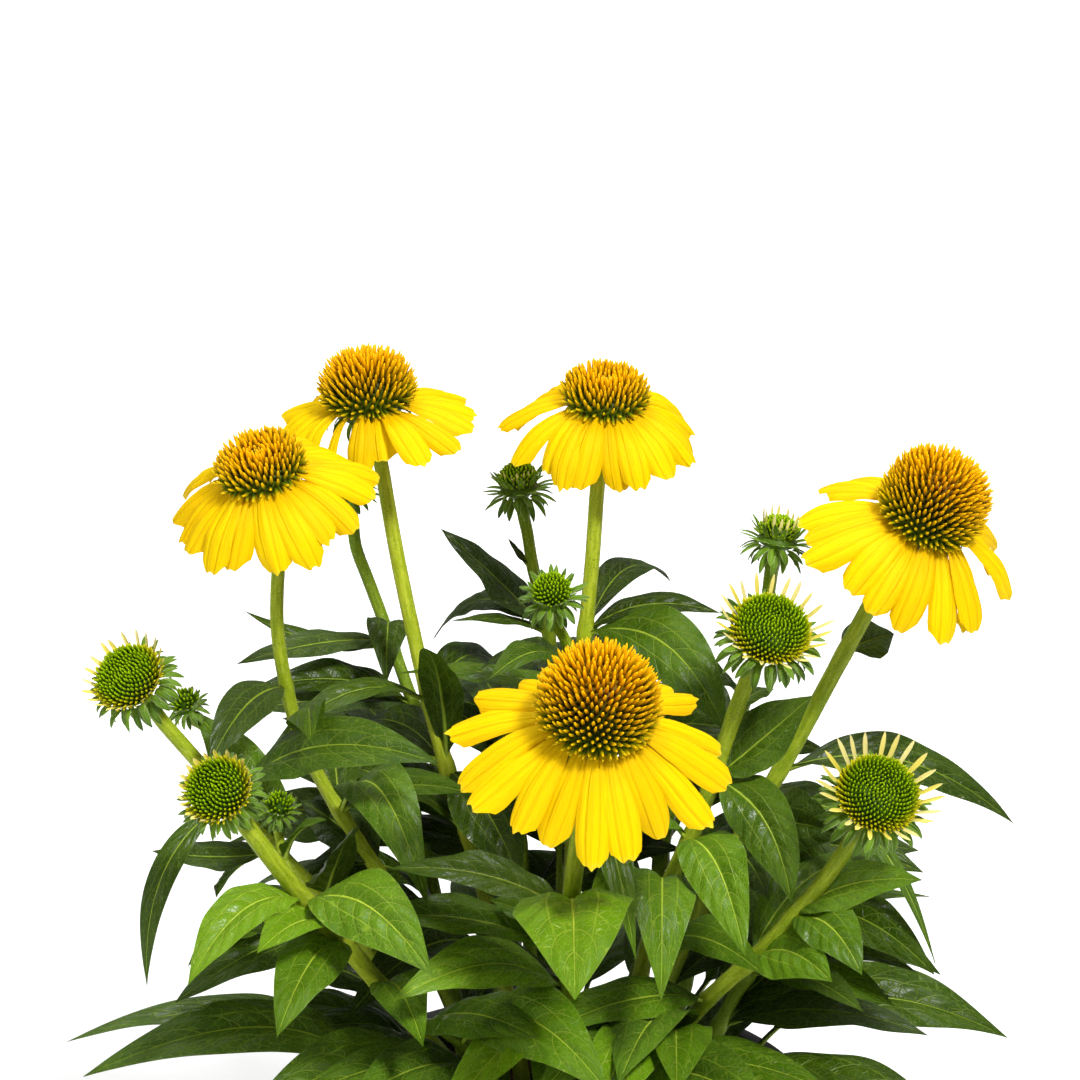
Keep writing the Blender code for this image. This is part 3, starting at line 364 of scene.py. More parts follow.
def tube(path, radii, sides):
    """Vertices and faces of a closed tube along the path."""
    verts, faces = [], []
    first = (path[1] - path[0]).normalized()
    ref = Vector((0, 1, 0)) if abs(first.x) > 0.7 else Vector((1, 0, 0))
    floor = SOIL_TOP + GAP
    for i, p in enumerate(path):
        t = (path[min(i + 1, len(path) - 1)] - path[max(i - 1, 0)]).normalized()
        a = (ref - t * ref.dot(t)).normalized()
        b = t.cross(a)
        ref = a
        for k in range(sides):
            w = 2 * math.pi * k / sides
            q = p + (a * math.cos(w) + b * math.sin(w)) * radii[i]
            q.z = max(q.z, floor)
            verts.append(q)
    for i in range(len(path) - 1):
        for k in range(sides):
            q = (k + 1) % sides
            faces.append((i * sides + k, i * sides + q, (i + 1) * sides + q, (i + 1) * sides + k))
    faces.append(tuple(reversed(range(sides))))
    last = (len(path) - 1) * sides
    faces.append(tuple(last + k for k in range(sides)))
    return verts, faces


# ---------------------------------------------------------------- leaves
def leaf_width(s, petiole):
    """Half of the outline's width at s along the leaf, as a share of its greatest width."""
    if s <= petiole:
        return 0.0
    x = (s - petiole) / (1 - petiole)
    peak = 0.42 ** 0.74 * 0.58 ** 1.02
    return 0.5 * (x ** 0.74 * max(0.0, 1 - x) ** 1.02) / peak


def leaf_curve(base, tip, arch, n, out=None):
    """Points and upward normals of a midrib from base to tip. It rises by arch of its length in the middle."""
    chord = tip - base
    length = chord.length
    up = Vector((0, 0, 1))
    if abs(chord.normalized().z) > 0.93:
        flat = (out or Vector((0, -1, 0))).copy()
        flat.z = 0
        up = flat.normalized() if flat.length > 1e-6 else Vector((0, -1, 0))
    lift = (up - chord * (up.dot(chord) / length ** 2)).normalized()
    c = base.lerp(tip, 0.42) + lift * (arch * 2.0 * length)
    pts, nor = [], []
    for i in range(n + 1):
        t = i / n
        pts.append(base * (1 - t) ** 2 + c * (2 * t * (1 - t)) + tip * t * t)
        d = ((c - base) * (1 - t) + (tip - c) * t).normalized()
        nor.append((lift - d * lift.dot(d)).normalized())
    return pts, nor


def leaf_frames(leaf, n):
    """For each of n + 1 stations: point, sideways direction, normal, half width."""
    pts, nor = leaf_curve(leaf["base"], leaf["tip"], leaf["arch"], n)
    out = []
    for i, (p, nn) in enumerate(zip(pts, nor)):
        t = (pts[min(i + 1, n)] - pts[max(i - 1, 0)]).normalized()
        side = t.cross(nn).normalized()
        turn = side if i == 0 else turn
        sign = 1.0 if turn.dot(FWD) <= 0 else -1.0
        roll = sign * math.radians(leaf["roll"] + leaf.get("twist", 0.0) * (i / n - 0.3)) * min(1.0, 2.2 * i / n)
        nn2 = nn * math.cos(roll) + side * math.sin(roll)
        side2 = side * math.cos(roll) - nn * math.sin(roll)
        out.append((p, side2, nn2, leaf["width"] * leaf_width(i / n, leaf["petiole"])))
    return out


STATIONS = 12  # the solid reads every third or fourth of these


def leaf_solid(leaf, thick, wider=0.0, skip=0):
    """A closed lens-shaped leaf: four corners at each station, one point at the tip."""
    frames = leaf_frames(leaf, STATIONS)
    use = [0, 3, 6, 9] if leaf["fine"] else [0, 4, 8]
    use = use[skip:]
    verts, faces = [], []
    fold = 0.12
    for k in use:
        p, side, nn, half = frames[k]
        half = max(half, 0.0011) + wider
        edge = nn * (half * fold)
        verts += [p - side * half + edge, p - nn * (thick / 2), p + side * half + edge, p + nn * (thick / 2)]
    tip = frames[-1][0]
    verts.append(tip)
    m = len(use)
    for i in range(m - 1):
        for k in range(4):
            a, b = i * 4 + k, i * 4 + (k + 1) % 4
            faces.append((a, b, b + 4))
            faces.append((a, b + 4, a + 4))
    faces.append((3, 1, 0))
    faces.append((3, 2, 1))
    e = (m - 1) * 4
    for k in range(4):
        faces.append((e + k, e + (k + 1) % 4, m * 4))
    return verts, faces


def tree_of(verts, faces):
    return BVHTree.FromPolygons([tuple(v) for v in verts], faces, all_triangles=False)


def box_of(verts):
    a = np.array([tuple(v) for v in verts])
    return a.min(0), a.max(0)


class Room:
    """What is already in place, so that a new leaf can be tried against it."""

    def __init__(self):
        self.items = []
        self.blades = {}

    def add(self, tag, verts, faces):
        self.items.append((tag, box_of(verts), tree_of(verts, faces)))

    def clear(self, tag, verts, faces):
        lo, hi = box_of(verts)
        mine = None
        for other, (lo2, hi2), tree in self.items:
            if other == tag or (lo > hi2).any() or (lo2 > hi).any():
                continue
            mine = mine or tree_of(verts, faces)
            if mine.overlap(tree):
                return False
        return True


# ---------------------------------------------------------------- ray florets
def petal_plan(name):
    """One entry for each ray floret: azimuth, length, width, first angle, last angle, sideways bend, twist. Those in front hang lower than those beside."""
    new = name in OPENING
    number, length, width, first, last = (NEW_RAYS if new else RAYS)[name]
    rng = random.Random("rays " + name)
    plan = []
    for i in range(number):
        az = 2 * math.pi * (i + 0.5 + rng.uniform(-0.17, 0.17)) / number
        near, aside = (0.0, 0.0) if new else (-math.sin(az), abs(math.cos(az)))
        row = {
            "az": az,
            "length": length * rng.uniform(0.89, 1.07),
            "width": width * rng.uniform(0.90, 1.10),
            "first": math.radians(first + rng.uniform(-5, 5) + 6 * near - 4 * aside),
            "last": math.radians(last + rng.uniform(-11, 11) + 6 * near - 9 * aside),
            "bend": rng.uniform(-0.10, 0.10),
            "twist": rng.uniform(-12, 12) + 24 * math.cos(az),
        }
        if (name, i) in ODD_RAYS:
            size, wide, a0, a1 = ODD_RAYS[name, i]
            row.update(length=size, width=wide, first=math.radians(a0), last=math.radians(a1))
        plan.append(row)
    return plan


def ring_radius(name):
    r = HEADS[name][5] * 0.001
    return r * 0.80 if name in OPEN else r + 0.0008


def petal_line(row, r0, n):
    """Points of a petal's midline in the head's own frame, z along the axis, with the outward direction at each."""
    pts, dirs = [], []
    r, z, side = r0, 0.0, 0.0
    for i in range(n + 1):
        s = i / n
        a = row["first"] + (row["last"] - row["first"]) * s ** 0.9
        ca, sa = math.cos(row["az"] + 0.0), math.sin(row["az"] + 0.0)
        out = Vector((ca, sa, 0))
        across = Vector((-sa, ca, 0))
        pts.append(out * r + across * side + Vector((0, 0, z)))
        dirs.append((out * math.cos(a) - Vector((0, 0, math.sin(a))), across))
        step = row["length"] / n
        r += math.cos(a) * step
        z -= math.sin(a) * step
        side += row["bend"] * step * 2 * s
    return pts, dirs


# ---------------------------------------------------------------- solids that stand for the flowers, pot and soil
def turned(profile, sides, frame=None):
    """A closed solid of revolution. The profile runs from the axis at the bottom to the axis at the top."""
    verts, faces, rings = [], [], []
    for r, z in profile:
        if r < 1e-7:
            rings.append([len(verts)])
            verts.append(Vector((0, 0, z)))
        else:
            rings.append(list(range(len(verts), len(verts) + sides)))
            for k in range(sides):
                w = 2 * math.pi * k / sides
                verts.append(Vector((r * math.cos(w), r * math.sin(w), z)))
    for a, b in zip(rings, rings[1:]):
        for k in range(sides):
            q = (k + 1) % sides
            if len(a) == 1:
                faces.append((a[0], b[q], b[k]))
            elif len(b) == 1:
                faces.append((a[k], a[q], b[0]))
            else:
                faces.append((a[k], a[q], b[q], b[k]))
    if frame is not None:
        verts = [frame @ v for v in verts]
    return verts, faces


def cone_profile(name):
    """Outline of an open flower's cone above the ring of rays, and of the receptacle inside the ring."""
    _, _, _, _, _, r, h = HEADS[name]
    r, h = r * 0.001, h * 0.001
    r_in = ring_radius(name) - 0.0030
    z0 = GAP
    low = [(0.0, -0.0013), (r_in - GAP, -0.0013), (r_in - GAP, z0)]
    dome = [(r * 0.88, z0), (r, z0 + h * 0.22), (r * 0.95, z0 + h * 0.48), (r * 0.78, z0 + h * 0.74), (r * 0.46, z0 + h * 0.95), (0.0, z0 + h)]
    return low + dome


def rays_solid(name, frame):
    """The ray florets of one open flower as one body: a thin ring with a two-part blade for each floret."""
    number = RAYS[name][0]
    r0 = ring_radius(name)
    r_in = r0 - 0.0030
    thick = 0.0011
    verts, faces = [], []
    pitch = 2 * math.pi / number
    plan = petal_plan(name)
    for i in range(number):
        mid = pitch * (i + 0.5)
        for sgn in (-1, 1):
            w = mid + sgn * pitch * 0.30
            for r, z in ((r_in, 0.0), (r_in, -thick), (r0, 0.0), (r0, -thick)):
                verts.append(Vector((r * math.cos(w), r * math.sin(w), z)))
    n2 = number * 2
    for k in range(n2):
        q = (k + 1) % n2
        a, b = 4 * k, 4 * q
        faces.append((a, a + 2, b + 2, b))
        faces.append((a + 1, b + 1, b + 3, a + 3))
        faces.append((a, b, b + 1, a + 1))
        if k % 2 == 1:
            faces.append((a + 2, a + 3, b + 3, b + 2))
    for i in range(number):
        row = dict(plan[i], az=pitch * (i + 0.5), bend=0.0)
        pts, dirs = petal_line(row, r0, 2)
        left, right = 8 * i, 8 * i + 4
        prev = (left + 2, right + 2, right + 3, left + 3)
        for s, share in ((1, 1.0), (2, 0.50)):
            p = pts[s]
            reach = math.hypot(p.x, p.y)
            half = min(row["width"] * share * 0.5, reach * math.tan(pitch * 0.43))
            d, across = dirs[s]
            nn = d.cross(across).normalized()
            nn = nn if nn.z > 0 or abs(nn.z) < 1e-6 else -nn
            i0 = len(verts)
            verts += [p - across * half, p + across * half, p + across * half - nn * thick, p - across * half - nn * thick]
            a, b, c, e = prev
            faces += [(a, i0, i0 + 1, b), (b, i0 + 1, i0 + 2, c), (c, i0 + 2, i0 + 3, e), (e, i0 + 3, i0, a)]
            prev = (i0, i0 + 1, i0 + 2, i0 + 3)
        faces.append((prev[0], prev[3], prev[2], prev[1]))
    return [frame @ v for v in verts], faces


def head_profile(name):
    """Outline of an opening flower or a bud, bracts and all."""
    _, _, _, _, _, r, h = HEADS[name]
    r, h = r * 0.001, h * 0.001
    if name in CLOSED:
        return [(0.0, -r * 0.62), (r * 0.45, -r * 0.60), (r * 0.86, -r * 0.30), (r, 0.05 * h), (r * 0.90, h * 0.50), (r * 0.56, h * 0.88), (0.0, h)]
    _, length, _, first, last = NEW_RAYS[name]
    up = math.radians(-0.5 * (first + last))
    tip_r, tip_z = r + length * math.cos(up) + 0.0006, length * math.sin(up)
    return [(0.0, -0.0013), (r * 0.42, -0.0013), (r * 0.98, -0.0010), (tip_r, tip_z - 0.0006), (tip_r - 0.0003, tip_z + 0.0004),
            (r * 1.0, 0.0010), (r * 0.92, h * 0.42), (r * 0.62, h * 0.84), (0.0, h)]


POT_PROFILE = [
    (0.0, 0.0), (POT_BASE_R - 0.0015, 0.0), (POT_BASE_R, 0.0015), (POT_TOP_R, POT_HEIGHT - 0.020), (POT_RIM_R, POT_HEIGHT - 0.020),
    (POT_RIM_R, POT_HEIGHT - 0.0008), (POT_RIM_R - 0.0008, POT_HEIGHT), (POT_TOP_R - POT_WALL + 0.0008, POT_HEIGHT),
    (POT_TOP_R - POT_WALL, POT_HEIGHT - 0.0008), (POT_TOP_R - POT_WALL, POT_HEIGHT - 0.020), (POT_BASE_R - POT_WALL, POT_WALL), (0.0, POT_WALL)]


def pot_inner(z):
    """Radius of the inside of the pot at the height z."""
    z1 = POT_HEIGHT - 0.020
    if z >= z1:
        return POT_TOP_R - POT_WALL
    return POT_BASE_R - POT_WALL + (POT_TOP_R - POT_BASE_R) * (z - POT_WALL) / (z1 - POT_WALL)


# a little smaller than the pot's own circle allows, because both are drawn with flat sides
SOIL_PROFILE = [
    (0.0, POT_WALL + GAP), (pot_inner(POT_WALL) - 2 * GAP, POT_WALL + GAP), (pot_inner(POT_HEIGHT - 0.021) - 2 * GAP, POT_HEIGHT - 0.021),
    (pot_inner(0.130) - 2 * GAP, SOIL_TOP - 0.0015), (pot_inner(0.130) - 0.003, SOIL_TOP), (0.0, SOIL_TOP)]


# ---------------------------------------------------------------- where every leaf goes
def turned_tip(base, tip, yaw, pitch):
    d = tip - base
    d = Matrix.Rotation(math.radians(yaw), 3, "Z") @ d
    flat = Vector((-d.y, d.x, 0))
    if flat.length > 1e-6 and pitch:
        d = Matrix.Rotation(math.radians(-pitch), 3, flat.normalized()) @ d
    return base + d


def near_on(path, u, v):
    return min(joints(path), key=lambda q: math.hypot(drawn(q)[0] - u, drawn(q)[1] - v))


TRIES = [(0, 0, 1.0)] + [(y, p, w) for w in (1.0, 0.86) for y, p in ((0, 5), (6, 0), (-6, 0), (0, -5), (6, 5), (-6, 5), (6, -5), (-6, -5),
                                                         (12, 0), (-12, 0), (0, 11), (0, -11), (12, 8), (-12, 8), (12, -8), (-12, -8),
                                                         (19, 0), (-19, 0), (18, 12), (-18, 12), (0, 18), (0, -18))]


def folded(leaf):
    """Whether the leaf's solid cuts through itself."""
    verts, faces = leaf_solid(leaf, LEAF_RIB)
    tree = tree_of(verts, faces)
    return any(a < b and not set(faces[a]) & set(faces[b]) for a, b in tree.overlap(tree))


def settle(room, leaf, own, tries=TRIES, test=None):
    """Try the leaf as it is and then a little turned or narrower, until it touches nothing but its own stem."""
    for yaw, pitch, w in tries:
        new = dict(leaf, tip=turned_tip(leaf["base"], leaf["tip"], yaw, pitch), width=leaf["width"] * w)
        while folded(new) and abs(new["roll"]) > 2:
            new["roll"] *= 0.6
            new["twist"] *= 0.4
        if folded(new):
            continue
        if test and not test(new):
            continue
        verts, faces = leaf_solid(new, LEAF_RIB + 0.0008, 0.0004, skip=0)
        if min(v.z for v in verts) < SOIL_TOP + GAP and min(math.hypot(v.x, v.y) for v in verts if v.z < POT_HEIGHT) < POT_RIM_R:
            continue
        if room.clear(own, verts, faces):
            mine = leaf_solid(new, LEAF_RIB, 0.0, skip=1)
            tree = tree_of(*mine)
            if any(tree.overlap(other) for other in room.blades.get(own, ())):
                continue
            room.blades.setdefault(own, []).append(tree)
            room.add(own, *leaf_solid(new, LEAF_RIB, 0.0, skip=0))
            return new
    return None


def grow():
    """Stem paths, the leaves on each stem and the leaves that rise from the soil."""
    paths = stem_paths()
    room = Room()
    for name, (path, radius) in paths.items():
        own = BRANCHES[name[7:]][0] if name.startswith("branch_") else name
        n = len(path) - 1
        room.add(own, *tube(path, [taper(name, radius, i / n) + 0.0004 for i in range(n + 1)], 6))
    for name in HEADS:
        m = head_frame(name)
        if name in OPEN:
            room.add("head", *turned(cone_profile(name), 14, m))
            room.add("head", *rays_solid(name, m))
        else:
            room.add("head", *turned(head_profile(name), 14, m))
    room.add("pot", *turned(POT_PROFILE, 32))
    room.add("soil", *turned(SOIL_PROFILE, 32))
    leaves = {name: [] for name in paths if not name.startswith("branch_")}
    missed = []
    for row, (stem, (u, v), tip, width, arch, roll) in enumerate(SHOWN):
        key = stem
        path = paths[key][0] if key in paths else paths["branch_" + key][0]
        own = BRANCHES[key][0] if key in BRANCHES else key
        base = near_on(path, u, v)
        leaf = {"base": base, "tip": place(*tip), "width": width * 0.00114, "arch": arch, "roll": 8 + abs(roll), "petiole": 0.07, "twist": 14.0 if row % 2 else -10.0,
                "fine": width > 12}
        got = settle(room, leaf, own)
        if got is None:
            missed.append(row)
        else:
            leaves[own].append(got)
    rng = random.Random(11)
    basal = []
    # leaves that rise from the soil on long stalks, round the crown
    for k in range(60):
        if len(basal) >= 15:
            break
        az = math.radians(-90 + k * 137.508)
        r = rng.uniform(0.040, 0.062)
        base = Vector((r * math.cos(az), r * math.sin(az), SOIL_TOP + 0.0019))
        reach = rng.uniform(0.085, 0.118) + (0.012 if math.sin(az) < 0 else 0.0)
        a2 = az + rng.uniform(-0.35, 0.35)
        tip = base + Vector((math.cos(a2) * reach, math.sin(a2) * reach, rng.uniform(0.010, 0.060)))
        leaf = {"base": base, "tip": tip, "width": rng.uniform(0.025, 0.034), "arch": rng.uniform(0.24, 0.36), "roll": rng.uniform(-12, 28),
                "petiole": 0.30, "twist": rng.uniform(-20, 20), "fine": True}

        def low_enough(q):
            pts, _ = leaf_curve(q["base"], q["tip"], q["arch"], 6)
            return all(inside_outline(p) for p in pts[1:])

        got = settle(room, leaf, "basal %d" % k, test=low_enough)
        if got is not None:
            basal.append(got)
    # leaves up the stems, in a spiral, wherever there is room for them
    order = sorted(leaves)
    for turn in range(17):
        for si, name in enumerate(order):
            path, radius = paths[name]
            low = [q for q in joints(path) if q.z > SOIL_TOP + 0.020 and inside_outline(q)]
            if not low or len(leaves[name]) >= (10 if name.startswith("shoot_") else 8):
                continue
            f = ((turn * 0.382 + 0.5 * (si % 2)) % 1.0) * 0.92
            base = low[min(len(low) - 1, int(f * len(low)))]
            high = (base.z - SOIL_TOP) / 0.17
            centre = Vector((base.x - 0.0, base.y - 0.0, 0.0))
            az = 2.39996 * turn + 1.3 * si
            away = math.atan2(centre.y, centre.x) if centre.length > 0.012 else az
            diff = (az - away + math.pi) % (2 * math.pi) - math.pi
            az = away + diff * 0.60
            length = rng.uniform(0.066, 0.092) * (1.06 - 0.26 * min(1.0, max(0.0, high)))
            rise = rng.uniform(-0.12, 0.40)
            tip = base + Vector((math.cos(az), math.sin(az), rise)).normalized() * length
            leaf = {"base": base, "tip": tip, "width": length * rng.uniform(0.29, 0.36), "arch": rng.uniform(0.08, 0.24),
                    "roll": rng.uniform(-6, 44), "petiole": 0.08, "twist": rng.uniform(-16, 16), "fine": False}

            def in_plant(q):
                pts, _ = leaf_curve(q["base"], q["tip"], q["arch"], 6)
                if not all(inside_outline(p) for p in pts[1:]) or any(hides_flower(p) for p in pts):
                    return False
                return all(math.hypot(p.x, p.y) < 0.160 and p.z > SOIL_TOP + 0.004 for p in pts)

            got = settle(room, leaf, name, test=in_plant)
            if got is not None:
                leaves[name].append(got)
    return paths, leaves, basal, missed


# ================================================================ mesh making
class Shape:
    """Vertices, faces, a UV and a tint for each vertex. The tint's channels are read by the materials."""

    def __init__(self):
        self.v, self.f, self.uv, self.t, self.n = [], [], [], [], 0

    def add(self, verts, faces, uv, tint):
        verts = np.asarray(verts, float).reshape(-1, 3)
        count = len(verts)
        tint = np.asarray(tint, float)
        if tint.ndim == 1:
            tint = np.tile(tint, (count, 1))
        uv = np.asarray(uv, float)
        if uv.ndim == 1:
            uv = np.tile(uv, (count, 1))
        self.v.append(verts)
        self.uv.append(uv)
        self.t.append(tint)
        for group in faces:
            group = np.asarray(group, int)
            if len(group):
                self.f.append(group + self.n)
        self.n += count


def make(name, shape, mat, nodes, smooth=True):
    """One piece from a shape. It rides on the only body, stands for its CAD nodes and takes a slot's finish."""
    verts = np.concatenate(shape.v)
    uv = np.concatenate(shape.uv)
    tint = np.concatenate(shape.t)
    sizes = np.concatenate([np.full(len(g), g.shape[1]) for g in shape.f])
    loops = np.concatenate([g.reshape(-1) for g in shape.f])
    mesh = bpy.data.meshes.new(name)
    mesh.vertices.add(len(verts))
    mesh.vertices.foreach_set("co", verts.astype(np.float32).reshape(-1))
    mesh.loops.add(len(loops))
    mesh.loops.foreach_set("vertex_index", loops.astype(np.int32))
    mesh.polygons.add(len(sizes))
    starts = np.concatenate([[0], np.cumsum(sizes)[:-1]])
    mesh.polygons.foreach_set("loop_start", starts.astype(np.int32))
    mesh.update(calc_edges=True)
    layer = mesh.uv_layers.new(name="UVMap")
    layer.data.foreach_set("uv", uv[loops].astype(np.float32).reshape(-1))
    attr = mesh.color_attributes.new("tint", "FLOAT_COLOR", "POINT")
    rgba = np.ones((len(verts), 4), np.float32)
    rgba[:, :3] = tint[:, :3]
    attr.data.foreach_set("color", rgba.reshape(-1))
    mesh.polygons.foreach_set("use_smooth", np.full(len(sizes), smooth))
    mesh.validate()
    mesh.update()
    mesh.materials.append(mat)
    obj = bpy.data.objects.new(name, mesh)
    bpy.context.scene.collection.objects.link(obj)
    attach(obj, "root")
    if nodes:
        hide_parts(*nodes)
    return obj


GRIDS = {}


def grid(nu, nv, wrap=False):
    """Quads of a grid with nu steps across and nv along. With wrap the last column joins the first."""
    key = (nu, nv, wrap)
    if key not in GRIDS:
        cols = nu if wrap else nu + 1
        j, i = np.meshgrid(np.arange(nv), np.arange(nu), indexing="ij")
        a = j * cols + i
        b = j * cols + (i + 1) % cols
        GRIDS[key] = np.stack([a, b, b + cols, a + cols], -1).reshape(-1, 4)
    return GRIDS[key]


def unit(a):
    return a / np.maximum(np.linalg.norm(a, axis=-1, keepdims=True), 1e-12)


def pipe(shape, path, radii, sides, tint, ridges=0, ridge=0.0, v_of=None, cap=True):
    """A fine tube. tint is a function of the share along the path."""
    p = np.array([tuple(q) for q in path])
    n = len(p)
    t = unit(np.gradient(p, axis=0))
    ref = np.array([0.0, 1.0, 0.0]) if abs(t[0][0]) > 0.7 else np.array([1.0, 0.0, 0.0])
    a_all, b_all = [], []
    for i in range(n):
        a = ref - t[i] * ref.dot(t[i])
        a /= np.linalg.norm(a)
        a_all.append(a)
        b_all.append(np.cross(t[i], a))
        ref = a
    a_all, b_all = np.array(a_all), np.array(b_all)
    w = 2 * np.pi * np.arange(sides) / sides
    rad = np.asarray(radii)[:, None] * (1 + ridge * np.cos(ridges * w)[None, :])
    verts = p[:, None, :] + a_all[:, None, :] * (np.cos(w)[None, :] * rad)[..., None] + b_all[:, None, :] * (np.sin(w)[None, :] * rad)[..., None]
    s = np.linspace(0, 1, n)
    uv = np.stack(np.broadcast_arrays((np.arange(sides) / sides)[None, :], s[:, None]), -1).reshape(-1, 2)
    tints = np.repeat(np.array([tint(x) for x in s]), sides, axis=0)
    faces = [grid(sides, n - 1, True)]
    verts = verts.reshape(-1, 3)
    if cap:
        verts = np.concatenate([verts, p[:1], p[-1:]])
        uv = np.concatenate([uv, [[0.5, 0.0]], [[0.5, 1.0]]])
        tints = np.concatenate([tints, tints[:1], tints[-1:]])
        k = np.arange(sides)
        q = (k + 1) % sides
        last = (n - 1) * sides
        faces.append(np.stack([q, k, np.full(sides, n * sides)], -1))
        faces.append(np.stack([last + k, last + q, np.full(sides, n * sides + 1)], -1))
    shape.add(verts, faces, uv, tints)
    return p, t, a_all, b_all


def spikes(shape, base, way, length, radius, profile, sides, zone, noise, bend=None):
    """Many small pointed florets or hairs at once. profile: (share of the length, share of the radius) up to the tip."""
    base, way = np.asarray(base, float), unit(np.asarray(way, float))
    n = len(base)
    length = np.broadcast_to(length, (n,))[:, None]
    radius = np.broadcast_to(radius, (n,))[:, None]
    ref = np.where(np.abs(way[:, 2:3]) < 0.9, np.array([[0.0, 0.0, 1.0]]), np.array([[1.0, 0.0, 0.0]]))
    a = unit(np.cross(way, ref))
    b = np.cross(way, a)
    rings = []
    hs = []
    for h, r in profile:
        c = base + way * (length * h)
        if bend is not None:
            c = c + bend * (length * h * h)
        for k in range(sides):
            w = 2 * math.pi * k / sides
            rings.append(c + (a * math.cos(w) + b * math.sin(w)) * radius * r)
            hs.append(h)
    tip = base + way * length
    if bend is not None:
        tip = tip + bend * length
    rings.append(tip)
    hs.append(1.0)
    per = len(rings)
    verts = np.stack(rings, 1).reshape(-1, 3)
    local = []
    m = len(profile)
    for i in range(m - 1):
        for k in range(sides):
            q = (k + 1) % sides
            local.append((i * sides + k, i * sides + q, (i + 1) * sides + q, (i + 1) * sides + k))
    quads = np.array(local, int).reshape(-1, 4)
    tris = np.array([((m - 1) * sides + k, (m - 1) * sides + (k + 1) % sides, per - 1) for k in range(sides)], int)
    offset = (np.arange(n) * per)[:, None, None]
    faces = [(quads[None] + offset).reshape(-1, 4)] if len(quads) else []
    faces.append((tris[None] + offset).reshape(-1, 3))
    tint = np.zeros((n, per, 3))
    tint[:, :, 0] = np.array(hs)[None, :]
    tint[:, :, 1] = np.broadcast_to(zone, (n,))[:, None]
    tint[:, :, 2] = np.broadcast_to(noise, (n,))[:, None]
    uv = np.zeros((n, per, 2))
    uv[:, :, 1] = np.array(hs)[None, :]
    shape.add(verts, faces, uv.reshape(-1, 2), tint.reshape(-1, 3))


def lathe(shape, profile, sides, m, tint, wobble=None):
    """A turned surface. tint is a function of the share along the profile."""
    prof = np.array(profile)
    n = len(prof)
    w = 2 * np.pi * np.arange(sides) / sides
    r = np.repeat(prof[:, :1], sides, axis=1)
    z = np.repeat(prof[:, 1:], sides, axis=1)
    if wobble is not None:
        dr, dz = wobble(r, z, w[None, :])
        r, z = r + dr, z + dz
    verts = np.stack([r * np.cos(w), r * np.sin(w), z], -1).reshape(-1, 3)
    if m is not None:
        mm = np.array(m)
        verts = verts @ mm[:3, :3].T + mm[:3, 3]
    s = np.linspace(0, 1, n)
    uv = np.stack(np.broadcast_arrays((np.arange(sides) / sides)[None, :], s[:, None]), -1).reshape(-1, 2)
    tints = np.repeat(np.array([tint(x) for x in s]), sides, axis=0)
    shape.add(verts, [grid(sides, n - 1, True)], uv, tints)


def fine_profile(points, n):
    """Points spaced evenly along a smooth curve through the profile."""
    curve = smooth_path([Vector((r, 0, z)) for r, z in points], 0.0002)
    idx = np.linspace(0, len(curve) - 1, n).round().astype(int)
    return [(max(curve[i].x, 0.0), curve[i].z) for i in idx]


# ================================================================ materials
def nodes_of(name, rough=0.5, spec=0.5):
    mat = bpy.data.materials.new(name)
    mat.use_nodes = True
    nt = mat.node_tree
    shader = nt.nodes["Principled BSDF"]
    shader.inputs["Roughness"].default_value = rough
    shader.inputs["Specular IOR Level"].default_value = spec
    return mat, nt, shader


